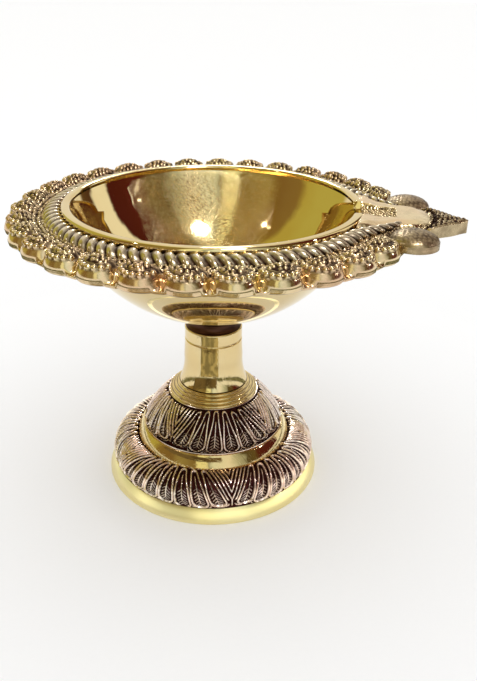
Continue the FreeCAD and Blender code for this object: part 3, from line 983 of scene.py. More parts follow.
@dataclass
class SpoutLeaf:
    """The spout: banks and tongue round the wick channel, two side lobes and the pointed tip."""

    sizes: DishSizes
    steps: int = 720
    rings: int = 74
    centre: float = 46.0
    side_lobe: tuple[float, float, float] = (49.3, 14.7, 5.9)
    tongue_end: float = 54.6
    tongue_half: float = 8.6
    bank_mid: float = 46.0
    bank_start: float = 35.4
    bank_start_half: float = 12.5
    notch: float = 54.3
    notch_half: float = 8.8
    nose_half: float = 1.3
    base_drop: float = 3.7
    wing: float = 16.6
    wing_from: float = 96.0
    rim_inner: float = 37.3
    lobe_rise: float = 3.3
    lobe_sink: float = 1.0
    bank_rise: float = 1.5
    bank_start_rise: float = 0.85
    bank_end_fall: float = 0.4
    bank_crown: float = 0.45
    tip_rise: float = 1.25
    tip_fall: float = 0.5
    tip_ridge: float = 0.35
    gap_depth: float = 0.7
    nub_rise: float = 0.38
    channel_nub_rise: float = 0.42
    turns_looked_at: int = 1441

    def tip_outline(self) -> list[tuple[float, float]]:
        """Corners of the pointed tip.

        Returns:
            The corners in order, as distance from the axis and to the side.
        """
        tip = self.sizes.tip - 0.05
        return [(44.0, -12.0), (self.notch, -self.notch_half), (tip - 1.1, -self.nose_half),
                (tip - 0.2, -self.nose_half * 0.55), (tip, 0.0), (tip - 0.2, self.nose_half * 0.55),
                (tip - 1.1, self.nose_half), (self.notch, self.notch_half), (44.0, 12.0)]

    def bank_outline(self) -> list[tuple[float, float]]:
        """Corners of the raised banks and their tongue.

        Returns:
            The corners in order, as distance from the axis and to the side.
        """
        end, half = self.tongue_end, self.tongue_half
        return [(self.bank_start, -self.bank_start_half - 1.5), (self.bank_mid - 4, -11.6),
                (self.bank_mid, -9.2), (self.bank_mid + 3.5, -self.tongue_half - 0.2),
                (end - 2.6, -half + 1.1), (end - 1.1, -half * 0.66), (end - 0.2, -half * 0.32),
                (end - 0.2, half * 0.32), (end - 1.1, half * 0.66), (end - 2.6, half - 1.1),
                (self.bank_mid + 3.5, self.tongue_half + 0.2), (self.bank_mid, 9.2),
                (self.bank_mid - 4, 11.6), (self.bank_start, self.bank_start_half + 1.5),
                (36.6, 0.0)]

    @staticmethod
    def inside(x: np.ndarray, y: np.ndarray, corners: list[tuple[float, float]]) -> np.ndarray:
        """Distance from an outline, positive inside.

        Args:
            x: First coordinate of the places.
            y: Second coordinate.
            corners: The outline's corners in order.

        Returns:
            The distance at each place.
        """
        nearest = np.full(len(x), 1e9)
        crossings = np.zeros(len(x), dtype=int)
        for (x1, y1), (x2, y2) in zip(corners, corners[1:] + corners[:1]):
            dx, dy = x2 - x1, y2 - y1
            t = np.clip(((x - x1) * dx + (y - y1) * dy) / (dx * dx + dy * dy), 0.0, 1.0)
            nearest = np.minimum(nearest, np.hypot(x - x1 - t * dx, y - y1 - t * dy))
            spans = (y1 > y) != (y2 > y)
            rise = dy if dy else 1e-9
            crossings += (spans & (x < (y - y1) * dx / rise + x1)).astype(int)
        return np.where(crossings % 2 == 1, nearest, -nearest)

    def reach(self, turn: np.ndarray) -> np.ndarray:
        """How far the leaf reaches from its centre in each direction, in millimetres.

        Args:
            turn: Directions in degrees from the tip.

        Returns:
            The distance to the outline.
        """
        direction = np.radians(turn)
        ux, uy = np.cos(direction), np.sin(direction)
        far = np.full(len(turn), 4.0)
        corners = self.tip_outline()
        for (x1, y1), (x2, y2) in zip(corners, corners[1:]):
            ex, ey = x2 - x1, y2 - y1
            det = ux * -ey + uy * ex
            det = np.where(np.abs(det) < 1e-9, 1e-9, det)
            px, py = x1 - self.centre, y1
            along = (px * -ey + py * ex) / det
            t = (ux * py - uy * px) / det
            hit = (along > 0) & (t >= 0) & (t <= 1)
            far = np.where(hit, np.maximum(far, along), far)
        lobe_x, lobe_y, lobe_r = self.side_lobe
        for cy in (lobe_y, -lobe_y):
            cx = lobe_x - self.centre
            middle = ux * cx + uy * cy
            spare = lobe_r**2 - (cx**2 + cy**2 - middle**2)
            hit = (spare > 0) & (middle > 0)
            far = np.where(hit, np.maximum(far, middle + np.sqrt(np.clip(spare, 0, None))), far)
        back = np.abs(((turn + 180.0) % 360.0) - 180.0)
        b = -2 * self.centre * ux
        root = b * b / 4 - (self.centre**2 - self.rim_inner**2)
        inward = np.where((root > 0) & (ux < 0), b / 2 - np.sqrt(np.clip(root, 0, None)), 1e3)
        wing = np.where(back > self.wing_from, self.wing, 1e3)
        far = np.where(back > self.wing_from, np.maximum(far, self.wing), far)
        return np.minimum(np.where(back > 90.0, np.minimum(far, inward), far), np.maximum(wing, far))

    def section(self) -> Section:
        """Half section of a round blank, one unit in radius, that is stretched to the outline.

        Returns:
            The section, as points of distance from the axis and height.
        """
        top, low = self.sizes.rim_level, self.sizes.lip - self.base_drop
        face = [(t, top) for t in np.linspace(0.0, 0.972, self.rings)]
        edge = [(0.986, top - 0.12), (0.996, top - 0.4), (1.0, top - 0.8), (1.0, top - 1.6),
                (0.998, low + 0.8), (0.985, low + 0.25), (0.96, low)]
        return face + edge + [(0.7, low), (0.35, low), (0.0, low)]

    def heights(self, x: np.ndarray, y: np.ndarray, inset: np.ndarray) -> tuple[np.ndarray, np.ndarray]:
        """Top of the leaf above its blank.

        Args:
            x: Distance from the bowl's axis.
            y: Distance to the side.
            inset: Distance from the outline.

        Returns:
            The height over the rim's level, and the brightness, with painted shade on the side lobes.
        """
        s = self.sizes
        lobe_x, lobe_y, lobe_r = self.side_lobe
        away = np.hypot(x - lobe_x, np.abs(y) - lobe_y)
        dome = np.sqrt(np.clip(1.0 - (away / (lobe_r + 0.3)) ** 2, 0.0, 1.0))
        lobes = self.lobe_rise * dome - self.lobe_sink
        bank = self.inside(x, y, self.bank_outline())
        raised = smooth(-0.1, 0.9, bank)
        bank_level = self.bank_rise + self.bank_start_rise * smooth(41.5, 37.2, x)
        bank_level = bank_level - self.bank_end_fall * smooth(49.0, 54.0, x)
        bank_level = bank_level + self.bank_crown * smooth(0.2, 3.4, bank)
        tip = smooth(51.0, 55.0, x) * smooth(11.0, 9.0, np.abs(y))
        tip_level = self.tip_rise - self.tip_fall * smooth(55.0, 63.0, x)
        tip_level = tip_level + self.tip_ridge * smooth(2.6, 0.0, np.abs(y))
        near_lobe = smooth(lobe_r + 0.6, lobe_r - 0.2, away)
        height = np.maximum(0.25 - near_lobe, lobes)
        height = np.maximum(height, tip * tip_level)
        gap = smooth(0.0, -0.5, bank) * smooth(-1.3, -0.7, bank) * smooth(50.5, 52.0, x)
        height = height - self.gap_depth * gap
        height = height * (1.0 - raised) + bank_level * raised
        grain = nubs(x + 0.37 * y, y - 0.21 * x, 1.15, 0.54, 9.0)
        on_side_lobe = smooth(0.1, 0.4, dome) * (1.0 - raised)
        stippled = (1.0 - raised) * smooth(0.3, 1.0, inset) * (1.0 - 0.8 * on_side_lobe)
        height = height + grain * self.nub_rise * stippled
        limit = s.channel_limit(x, y) - s.rim_level
        in_channel = smooth(0.0, 0.4, height - limit) * (limit < 10)
        channel_grain = nubs(x * 0.8 + y, y * 0.9 - x, 1.1, 0.52, 5.0)
        channel_floor = limit < 1.9
        height = np.minimum(height, limit)
        height = height + self.channel_nub_rise * channel_grain * in_channel * channel_floor
        # Painted shade: the side lobes are darkened to stand for their dark reflections; the stipple hollows
        # hold patina, and the gap and the tip are darker too.
        bright = 1.0 - stippled * (1.0 - grain) * 0.9 - 0.85 * gap - 0.36 * on_side_lobe - 0.22 * tip
        in_bright = 1.0 - 0.7 * (1.0 - channel_grain) * channel_floor
        return height, np.where(in_channel > 0.3, in_bright, bright)

    def shape(self, points: np.ndarray) -> Shaped:
        """Stretches the round blank to the leaf's outline and models its top.

        Args:
            points: The piece's points, in millimetres.

        Returns:
            The moved points, and the named values for each point.
        """
        x, y, z = points.T
        turn = np.degrees(np.arctan2(y, x))
        share = np.hypot(x, y)
        grid = np.linspace(-180.0, 180.0, self.turns_looked_at)
        raw = self.reach(grid)
        kernel = np.hanning(9)[1:-1]
        kernel /= kernel.sum()
        ring = np.concatenate([raw[-4:-1], raw, raw[1:4]])
        soft = np.convolve(ring, kernel, mode="valid")
        far = np.interp(turn, grid, soft)
        new_x = self.centre + share * far * np.cos(np.radians(turn))
        new_y = share * far * np.sin(np.radians(turn))
        inset = far * (1.0 - share)
        height, bright = self.heights(new_x, new_y, inset)
        top = self.sizes.rim_level
        on_top = smooth(top - 1.7, top - 0.05, z)
        new_z = z + height * on_top
        low = self.sizes.lip - self.base_drop
        new_z = np.where(z < low + 0.3, z - 0.5 * smooth(54.0, 60.0, new_x), new_z)
        relief_and_shade = np.where(on_top > 0.95, bright, 0.72)
        return np.stack([new_x, new_y, new_z], axis=1), {"relief_and_shade": relief_and_shade}

    def build(self, finish: bpy.types.Material) -> None:
        """Makes the spout with its finish.

        Args:
            finish: The finish.
        """
        mesh = spun("spout_leaf", self.section(), self.steps)
        reshape(mesh, self.shape)
        install(mesh, Body.DISH, "dish", finish)


# ---------------------------------------------------------------- stand


@dataclass
class NeckScrew:
    """The dark waisted neck and the screw under it."""

    foot_level: float
    top_level: float
    foot_radius: float = 7.65
    top_radius: float = 7.2
    hollow: float = 0.7
    shank: float = 3.45
    crest: float = 4.0
    pitch: float = 1.25
    turns: int = 7
    screw_length: float = 10.5
    spigot: float = 4.5
    spigot_height: float = 2.0
    turn_steps: int = 48

    def build(self, dark: bpy.types.Material, polished: bpy.types.Material) -> None:
        """Makes the neck and its thread.

        Args:
            dark: Finish of the neck, a dark colour painted for the shaded underside of the bowl that it
                reflects.
            polished: Finish of the thread.
        """
        top, foot = self.top_level, self.foot_level
        waist = bowed((self.foot_radius, foot + 0.25), (self.top_radius, top), -self.hollow, 22)
        section = [(0.0, foot - self.screw_length), (self.shank - 0.5, foot - self.screw_length),
                   (self.shank, foot - self.screw_length + 0.6), (self.shank, foot - 0.5),
                   (self.shank, foot), (self.foot_radius - 0.2, foot)] + waist
        section += [(self.spigot, top), (self.spigot, top + self.spigot_height),
                    (0.0, top + self.spigot_height)]
        mesh = spun("neck_body", section, 240)
        reshape(mesh, plain)
        install(mesh, Body.NECK, "neck_screw", dark)
        self.build_thread(polished)

    def build_thread(self, finish: bpy.types.Material) -> None:
        """Makes the thread's ridge as one helix round the shank.

        Args:
            finish: The finish.
        """
        work = bmesh.new()
        start = self.foot_level - self.screw_length + 0.8
        half = self.pitch * 0.44
        profile = [(self.shank - 0.15, -half), (self.crest - 0.03, -0.1), (self.crest - 0.03, 0.1),
                   (self.shank - 0.15, half)]
        row = [work.verts.new((r, 0.0, start + z)) for r, z in profile]
        edges = [work.edges.new(pair) for pair in zip(row, row[1:] + row[:1])]
        steps = self.turn_steps * self.turns
        bmesh.ops.spin(work, geom=row + edges, cent=(0, 0, 0), axis=(0, 0, 1),
                       dvec=(0, 0, self.pitch * self.turns / steps),
                       angle=math.tau * self.turns, steps=steps, use_merge=False, use_duplicate=False)
        bmesh.ops.holes_fill(work, edges=[e for e in work.edges if e.is_boundary], sides=0)
        bmesh.ops.recalc_face_normals(work, faces=work.faces)
        mesh = finished(work, "neck_thread")
        reshape(mesh, plain)
        install(mesh, Body.NECK, "neck_screw", finish)


@dataclass
class Stem:
    """The turned column and the stepped collar round its foot."""

    foot_level: float
    top_level: float
    collar_height: float = 3.0
    foot_radius: float = 8.4
    shoulder: float = 1.1
    waist: float = 8.2
    top_radius: float = 7.95
    flare_height: float = 7.5
    ring_height: float = 3.2
    groove_width: float = 0.7
    groove_depth: float = 0.35
    bore: float = 4.05
    bore_depth: float = 11.0
    collar_wall: float = 1.65
    collar_spread: float = 2.4
    collar_steps: int = 4

    def column_section(self) -> Section:
        """Half section of the column, bored at the top.

        Returns:
            The section, as points of distance from the axis and height.
        """
        foot, top = self.foot_level, self.top_level
        shoulder = foot + self.collar_height
        ring = top - self.ring_height
        flare = bowed((self.foot_radius + self.shoulder, shoulder + 0.25),
                      (self.waist, shoulder + self.flare_height), -0.4, 20)
        shaft = line((self.waist, shoulder + self.flare_height + 0.6),
                     (self.top_radius, ring - self.groove_width), 8)
        groove = bowed((self.top_radius, ring - self.groove_width), (self.top_radius, ring),
                       -self.groove_depth, 9)[1:]
        cap = line((self.top_radius, ring + 0.2), (self.top_radius, top - 0.4), 4)
        cap += arc(self.top_radius - 0.35, top - 0.35, 0.35, 0, 90, 5)
        return [(0.0, foot), (self.foot_radius, foot), (self.foot_radius, shoulder),
                (self.foot_radius + self.shoulder - 0.15, shoulder)] + flare + shaft + groove + cap + [
                (self.bore, top), (self.bore, top - self.bore_depth), (0.0, top - self.bore_depth)]

    def collar_section(self) -> Section:
        """Half section of the collar: a base ring and beads stepping inwards.

        Returns:
            The section, as points of distance from the axis and height.
        """
        bore, foot = self.foot_radius + 0.05, self.foot_level
        step = (self.collar_height - 0.05) / self.collar_steps
        section = [(bore, foot)]
        for i in range(self.collar_steps):
            share = (self.collar_steps - 1 - i) / (self.collar_steps - 1)
            radius = bore + self.collar_wall + self.collar_spread * share
            level = foot + i * step
            section += bowed((radius, level + 0.04), (radius - 0.15, level + step - 0.08), -0.25, 8)
            section.append((radius - 0.45, level + step - 0.02))
        section.append((bore, foot + self.collar_height - 0.05))
        return section

    def build(self, finish: bpy.types.Material) -> None:
        """Makes the column and the collar.

        Args:
            finish: The finish.
        """
        column = spun("stem_column", self.column_section(), 320)
        reshape(column, plain)
        install(column, Body.STAND, "stem", finish)
        collar = spun("collar_ring", self.collar_section(), 320)
        reshape(collar, self.collar_wear)
        install(collar, Body.STAND, "stem_collar", finish)

    def collar_wear(self, points: np.ndarray) -> Shaped:
        """Darkens the fine grooves between the collar's beads.

        Args:
            points: The piece's points, in millimetres.

        Returns:
            The moved points, and the named values for each point.
        """
        step = (self.collar_height - 0.05) / self.collar_steps
        share = ((points[:, 2] - self.foot_level) / step) % 1.0
        return points, {"relief_and_shade": 0.25 + 0.75 * smooth(0.0, 0.12, np.minimum(share, 1.0 - share))}


@dataclass(frozen=True)
class PetalFans:
    """Chased fans of long petals round one tier."""

    fans: int
    petals: int
    first_turn: float
    line_width: float = 0.68
    ridge_rise: float = 0.30
    hollow_depth: float = 0.40
    top_share: float = 0.58
    spread_power: float = 0.8
    vein_rise: float = 0.7
    dapple_rise: float = 0.5
    collar_rise: float = 0.8
    hatch_pitch: float = 0.85
    leaf_pitch: float = 1.05

    def relief_and_shade(self, turn: np.ndarray, level: np.ndarray, radius: np.ndarray,
               height: float) -> tuple[np.ndarray, np.ndarray]:
        """The chased pattern.

        Args:
            turn: Angle round the tier in degrees.
            level: Place up the tier's face, 0 at the bottom and 1 at the top.
            radius: Distance from the axis.
            height: Length of the face from bottom to top.

        Returns:
            The rise of the surface in millimetres, and its brightness, 0 to 1.
        """
        pitch = 360.0 / self.fans
        local = ((turn - self.first_turn) / pitch) % 1.0 * 2.0 - 1.0
        half_pitch = np.pi * radius / self.fans
        spread = np.clip(1.0 - level, 0.0, 1.0) ** self.spread_power
        width = self.top_share + (1.0 - self.top_share) * spread
        across = local / width
        cell = np.clip((across + 1.0) / 2.0 * self.petals, 0.0, self.petals - 1e-6)
        number = np.floor(cell)
        order = np.floor((turn - self.first_turn) / pitch) * 17.0 + number
        chance = scatter(np.stack([order, order * 0.0 + 2.0], axis=1), 1.7)
        u = (cell - number) * 2.0 - 1.0
        petal_half = half_pitch * width / self.petals
        outer = np.abs(number - (self.petals - 1) / 2) / ((self.petals - 1) / 2)
        bottom = 0.09 * outer**3 - 0.03
        bottom = bottom + 0.03 * chance
        round_start = bottom + 0.12 + 0.05 * (number % 2)
        below = np.clip((round_start - level) / (round_start - bottom), 0.0, None)
        above = np.clip((level - 0.84 - 0.08 * chance) / 0.10, 0.0, None)
        swell = 0.72 + 0.28 * smooth(0.85, 0.3, level)
        shape = np.sqrt((u / swell) ** 2 + below**2 + above**2)
        reach = (1.0 - shape) * petal_half
        from_line = np.abs(reach - self.line_width * 0.55)
        outline = smooth(self.line_width * 0.62, self.line_width * 0.2, from_line)
        vein = smooth(0.22, 0.10, np.abs(u) * petal_half) * smooth(0.10, 0.2, level)
        vein *= smooth(0.82, 0.7, level)
        vein *= smooth(0.62, 0.95, petal_half)
        hatch_phase = level * height / self.hatch_pitch + np.abs(u) * petal_half * 0.9
        hatch = 0.5 + 0.5 * np.sin(2 * np.pi * hatch_phase)
        within = smooth(self.line_width * 1.1, self.line_width * 1.8, reach)
        dappled = within * hatch * smooth(0.55, 0.35, level) * self.dapple_rise
        inner = np.abs(across) < 1.0
        collar = smooth(0.26, 0.1, np.abs(reach + 0.5)) * smooth(0.20, 0.12, level)
        lines = [outline, vein * self.vein_rise, dappled, self.collar_rise * collar]
        lift = np.where(inner, np.maximum.reduce(lines), 0.0)
        lift = np.maximum(lift, self.leaves(local, level, half_pitch, width))
        rise = -self.hollow_depth + (self.hollow_depth + self.ridge_rise) * lift
        ends = smooth(0.0, 0.03, level) * smooth(1.0, 0.975, level)
        bright = np.clip(lift, 0.0, 1.0)
        return rise * ends, bright * ends

    def leaves(self, local: np.ndarray, level: np.ndarray, half_pitch: np.ndarray,
               width: np.ndarray) -> np.ndarray:
        """Outline of the small leaf in each gap between two fans.

        Args:
            local: Place across the fan, -1 to 1.
            level: Place up the tier's face.
            half_pitch: Half the width of a fan, in millimetres.
            width: Share of it that the petals take.

        Returns:
            How far the leaf's line is raised, 0 to 1.
        """
        from_gap = (1.0 - np.abs(local)) * half_pitch
        room = (1.0 - width) * half_pitch
        leaf_half = np.clip(room - 0.2, 0.05, 6.0)
        reach = (leaf_half - from_gap) * smooth(0.16, 0.22, level)
        nested = smooth(-0.1, 0.55, np.cos(2 * np.pi * (reach - 0.3) / self.leaf_pitch)) * (reach > 0.0)
        edge = nested * smooth(0.18, 0.26, level) * smooth(0.99, 0.95, level)
        stalk = smooth(0.24, 0.1, from_gap) * smooth(0.05, 0.1, level) * smooth(0.3, 0.22, level)
        return np.where(room > 0.5, np.maximum(edge, stalk), 0.0)


@dataclass
class UpperTier:
    """The upper petal tier with its hollow."""

    foot_level: float
    top_level: float
    fans: PetalFans
    foot_radius: float = 20.1
    top_radius: float = 12.9
    edge: float = 0.5
    bulge: float = 0.7
    plate: float = 2.7
    bore: float = 3.2
    face_gap: float = 0.25
    hollow_radius: float = 15.6
    ring_radius: float = 17.6
    ring_depth: float = 1.6
    face_stretch: float = 1.25
    steps: int = 1320

    def section(self) -> Section:
        """Half section: the face, the top plate and the hollow.

        Returns:
            The section, as points of distance from the axis and height.
        """
        foot, top = self.foot_level, self.top_level
        face = bowed((self.foot_radius - 0.15, foot + self.edge), (self.top_radius, top - self.face_gap),
                     self.bulge, 56)
        under = top - self.plate
        return [(self.foot_radius - 0.3, foot), (self.foot_radius - 0.1, foot + 0.12)] + face + [
            (self.top_radius - 0.25, top), (self.bore, top), (self.bore, under),
            (self.top_radius - 1.5, under), (self.hollow_radius, foot),
            (self.hollow_radius, foot - self.ring_depth), (self.ring_radius, foot - self.ring_depth),
            (self.ring_radius, foot)]

    def shape(self, points: np.ndarray) -> Shaped:
        """Chases the petals into the tier's face.

        Args:
            points: The piece's points, in millimetres.

        Returns:
            The moved points, and the named values for each point.
        """
        x, y, z = points.T
        radius = np.hypot(x, y)
        low, high = self.foot_level + self.edge, self.top_level - self.face_gap
        level = (z - low) / (high - low)
        straight = self.foot_radius + (self.top_radius - self.foot_radius) * level
        on_face = (level >= 0.0) & (level <= 1.0) & (radius > straight - 0.6)
        turn = np.degrees(np.arctan2(y, x))
        length = (high - low) * self.face_stretch
        rise, bright = self.fans.relief_and_shade(turn, np.clip(level, 0, 1), radius, length)
        rise = np.where(on_face, rise, 0.0)
        slope = math.atan2(self.foot_radius - self.top_radius, self.top_level - self.foot_level)
        new_radius = radius + rise * math.cos(slope)
        scale = new_radius / np.maximum(radius, 1e-6)
        moved = np.stack([x * scale, y * scale, z + rise * math.sin(slope)], axis=1)
        return moved, {"relief_and_shade": np.where(on_face, bright, 0.9)}

    def build(self, finish: bpy.types.Material) -> None:
        """Makes the tier with its finish.

        Args:
            finish: The finish.
        """
        mesh = spun("upper_petal_tier", self.section(), self.steps)
        reshape(mesh, self.shape)
        install(mesh, Body.STAND, "foot_upper", finish)


@dataclass
class LowerTier:
    """The lower tier: petal face, polished band and satin skirt."""

    seat_level: float
    fans: PetalFans
    foot_radius: float = 30.6
    skirt_height: float = 4.0
    skirt_top: float = 28.5
    band_level: float = 11.45
    band_radius: float = 22.0
    band_top: float = 20.4
    bulge: float = 3.3
    wall: float = 2.3
    bore: float = 17.65
    seat_depth: float = 2.1
    petal_wall: float = 1.3
    skirt_wall: float = 0.75
    hollow_bulge: float = 2.7
    steps: int = 1440

    def face_circle(self) -> tuple[tuple[float, float], float, tuple[float, float]]:
        """The circle that the rounded face lies on.

        Returns:
            Its centre, its radius, and the angles at the skirt and at the band in degrees.
        """
        (x1, z1), (xm, zm), (x2, z2) = bowed((self.skirt_top, self.skirt_height),
                                             (self.band_radius, self.band_level), self.bulge, 3)
        chord = math.hypot(x2 - x1, z2 - z1)
        radius = chord**2 / (8 * self.bulge) + self.bulge / 2
        side = ((z2 - z1) / chord, -(x2 - x1) / chord)
        cx, cz = xm - side[0] * radius, zm - side[1] * radius
        start = math.degrees(math.atan2(z1 - cz, x1 - cx))
        end = math.degrees(math.atan2(z2 - cz, x2 - cx))
        return (cx, cz), radius, (start, end)

    def face_arc(self, inset: float, count: int) -> Section:
        """The rounded face from the skirt up to the band, inset by a depth."""
        (cx, cz), radius, (start, end) = self.face_circle()
        return arc(cx, cz, radius - inset, start, end, count)

    def chase(self, points: np.ndarray) -> Shaped:
        """Chases the petals into the rounded face.

        Args:
            points: The piece's points, in millimetres.

        Returns:
            The moved points, and the named values for each point.
        """
        x, y, z = points.T
        radius = np.hypot(x, y)
        (cx, cz), face_radius, (start, end) = self.face_circle()
        away = np.hypot(radius - cx, z - cz)
        angle = np.degrees(np.arctan2(z - cz, radius - cx))
        level = (angle - start) / (end - start)
        on_face = np.abs(away - face_radius) < 0.01
        turn = np.degrees(np.arctan2(y, x))
        length = face_radius * math.radians(end - start)
        rise, bright = self.fans.relief_and_shade(turn, np.clip(level, 0, 1), radius, length)
        rise = np.where(on_face, rise, 0.0)
        out_r, out_z = (radius - cx) / away, (z - cz) / away
        scale = (radius + rise * out_r) / radius
        moved = np.stack([x * scale, y * scale, z + rise * out_z], axis=1)
        return moved, {"relief_and_shade": np.where(on_face, bright, 0.5)}

    def skirt_section(self) -> Section:
        """Half section of the skirt and the hollow under the petals.

        Returns:
            The section, as points of distance from the axis and height.
        """
        low = [(self.foot_radius - 2.3, 0.0), (self.foot_radius - 0.25, 0.0), (self.foot_radius, 0.25),
               (self.foot_radius, 0.6)]
        skirt = bowed((self.foot_radius - 0.03, 0.8),
                      (self.skirt_top + 0.25, self.skirt_height - 0.05), 0.22, 14)
        under = self.face_arc(self.skirt_wall, 18)
        inner = bowed((self.band_radius - self.wall, self.band_level - self.wall),
                      (self.skirt_top - self.wall, self.skirt_height), -self.hollow_bulge, 16)
        return low + skirt + [(self.skirt_top - 0.2, self.skirt_height)] + under + inner

    def band_section(self) -> Section:
        """Half section of the polished band and the seat of the upper tier.

        Returns:
            The section, as points of distance from the axis and height.
        """
        low, top = self.band_level, self.seat_level
        return [(self.band_radius - self.wall, low - self.wall), (self.band_radius - 0.9, low - 0.5),
                (self.band_radius - 0.05, low - 0.12), (self.band_radius + 0.05, low + 0.1)] + bowed(
                (self.band_radius, low + 0.25), (self.band_top + 0.1, top - 0.25), 0.12, 10) + [
                (self.band_top - 0.1, top - 0.02), (self.bore, top), (self.bore, top - self.seat_depth)]

    def build(self, chased: bpy.types.Material, satin: bpy.types.Material,
              polished: bpy.types.Material) -> None:
        """Makes the three parts of the tier.

        Args:
            chased: Finish of the petals.
            satin: Finish of the skirt.
            polished: Finish of the band.
        """
        outer = self.face_arc(0.0, 60)
        inner = self.face_arc(self.petal_wall, 8)[::-1]
        petals = spun("lower_petal_tier", outer + inner, self.steps)
        reshape(petals, self.chase)
        install(petals, Body.STAND, "foot_lower", chased)
        for name, section, finish in (("foot_skirt", self.skirt_section(), satin),
                                      ("foot_band", self.band_section(), polished)):
            mesh = spun(name, section, 360)
            reshape(mesh, plain)
            install(mesh, Body.STAND, "foot_lower", finish)


# ---------------------------------------------------------------- studio


@dataclass
class Studio:
    """Pale floor, soft lights, the reflections' surroundings and the camera."""

    camera_place: tuple[float, float, float] = (6.98, -178.95, 129.87)
    camera_turn: float = 8.0
    camera_down: float = 26.73
    camera_roll: float = 1.02
    camera_lens: float = 37.94
    screens: tuple[tuple[float, Colour], ...] = (
        (0.00, (0.92, 0.88, 0.78)), (0.10, (0.92, 0.88, 0.78)), (0.12, (0.53, 0.48, 0.12)),
        (0.25, (0.53, 0.48, 0.12)), (0.27, (0.28, 0.19, 0.06)), (0.33, (0.24, 0.15, 0.05)),
        (0.37, (0.36, 0.29, 0.11)), (0.43, (0.26, 0.18, 0.06)), (0.44, (1.0, 1.0, 0.60)),
        (0.482, (1.0, 1.0, 0.66)), (0.492, (0.36, 0.38, 0.32)), (0.51, (0.9, 1.0, 0.95)),
        (0.57, (1.0, 1.0, 0.98)), (0.60, (0.6, 0.64, 0.56)), (0.63, (0.42, 0.44, 0.36)),
        (0.645, (0.11, 0.08, 0.03)), (0.685, (0.15, 0.11, 0.04)),
        (0.70, (0.11, 0.022, 0.014)), (0.80, (0.08, 0.014, 0.010)), (0.808, (1.0, 0.96, 0.84)),
        (0.85, (1.0, 0.96, 0.84)), (0.858, (0.09, 0.04, 0.018)), (0.90, (0.14, 0.08, 0.03)),
        (0.912, (0.92, 0.88, 0.78)), (1.00, (0.92, 0.88, 0.78)),
    )
    screen_drift: float = 0.05
    room_light: float = 1.07
    ground: float = 0.0004

    def floor(self) -> None:
        """A wide pale floor."""
        work = bmesh.new()
        bmesh.ops.create_grid(work, x_segments=2, y_segments=2, size=6.0)
        mesh = finished(work, "floor")
        made, nodes = new_material("floor_paper")
        grain = nodes.add("ShaderNodeTexNoise", {"Vector": object_place(nodes), "Scale": 900.0})
        colour = nodes.mix(grain.outputs[0], (0.955, 0.955, 0.955, 1), (0.975, 0.975, 0.975, 1))
        shader = nodes.add("ShaderNodeBsdfPrincipled", {"Base Color": colour, "Roughness": 0.9})
        nodes.add("ShaderNodeOutputMaterial", {"Surface": shader.outputs[0]})
        mesh.materials.append(made)
        placed("floor", mesh)

    def surroundings(self) -> None:
        """A white world, which polished metal sees as a room with bright screens and darker gaps."""
        world = bpy.data.worlds.new("studio")
        bpy.context.scene.world = world
        world.use_nodes = True
        world.cycles.sampling_method = "NONE"
        nodes = Nodes(world.node_tree)
        place = nodes.add("ShaderNodeTexCoord").outputs["Generated"]
        wave = nodes.add("ShaderNodeTexNoise", {"Vector": place, "Scale": 2.6, "Detail": 3.0})
        split = nodes.add("ShaderNodeSeparateXYZ", {0: place})
        turn = nodes.math("ARCTAN2", split.outputs[0], nodes.math("MULTIPLY", split.outputs[1], -1.0))
        share = nodes.math("ADD", nodes.math("DIVIDE", turn, math.tau), 0.5 - self.camera_turn / 360.0)
        drift = nodes.math("MULTIPLY", nodes.math("SUBTRACT", wave.outputs[0], 0.5), self.screen_drift)
        share = nodes.math("FRACT", nodes.math("ADD", share, drift))
        ramp = nodes.add("ShaderNodeValToRGB", {0: share})
        elements = ramp.color_ramp.elements
        while len(elements) > 1:
            elements.remove(elements[-1])
        for i, (at, colour) in enumerate(self.screens):
            stop = elements[0] if i == 0 else elements.new(at)
            stop.position = at
            stop.color = (*colour, 1.0)
        room = nodes.add("ShaderNodeBackground", {"Color": ramp.outputs[0], "Strength": 1.0})
        lit = nodes.add("ShaderNodeBackground", {"Color": (1, 1, 1, 1), "Strength": self.room_light})
        path = nodes.add("ShaderNodeLightPath")
        pick = nodes.add("ShaderNodeMixShader", {0: path.outputs["Is Glossy Ray"], 1: lit.outputs[0],
                                                 2: room.outputs[0]})
        nodes.add("ShaderNodeOutputWorld", {"Surface": pick.outputs[0]})

    def card(self, name: str, colour: Colour, ends: Section, start: float,
             sweep: float) -> None:
        """A card that only the metal sees, a part of a ring round the lamp.

        Args:
            name: The card's name.
            colour: Its colour as the metal sees it.
            ends: Its two edges, as distance from the axis and height, in metres.
            start: Where it starts, in degrees from the side that the camera is on.
            sweep: How far it turns.
        """
        work = bmesh.new()
        row = [work.verts.new((r, 0.0, z)) for r, z in ends]
        edge = work.edges.new(row)
        bmesh.ops.rotate(work, verts=row, cent=(0, 0, 0),
                         matrix=Matrix.Rotation(math.radians(start - 90.0 + self.camera_turn), 3, "Z"))
        bmesh.ops.spin(work, geom=row + [edge], cent=(0, 0, 0), axis=(0, 0, 1), dvec=(0, 0, 0),
                       angle=math.radians(sweep), steps=max(4, int(sweep / 4)), use_merge=sweep == 360.0,
                       use_duplicate=False)
        mesh = finished(work, name)
        made, nodes = new_material(name)
        cloud = nodes.add("ShaderNodeTexNoise", {
            "Vector": object_place(nodes), "Scale": 30.0, "Detail": 4.0,
        })
        share = nodes.remap(cloud.outputs[0], 0.42, 0.58, 0.0, 1.0)
        bright = tuple(1.3 * c for c in colour)
        dim = tuple(0.6 * c for c in colour)
        tint = nodes.mix(share, (*dim, 1.0), (*bright, 1.0))
        glow = nodes.add("ShaderNodeEmission", {"Color": tint, "Strength": 1.0})
        nodes.add("ShaderNodeOutputMaterial", {"Surface": glow.outputs[0]})
        mesh.materials.append(made)
        card = placed(name, mesh)
        card.visible_camera = False
        card.visible_diffuse = False
        card.visible_shadow = False

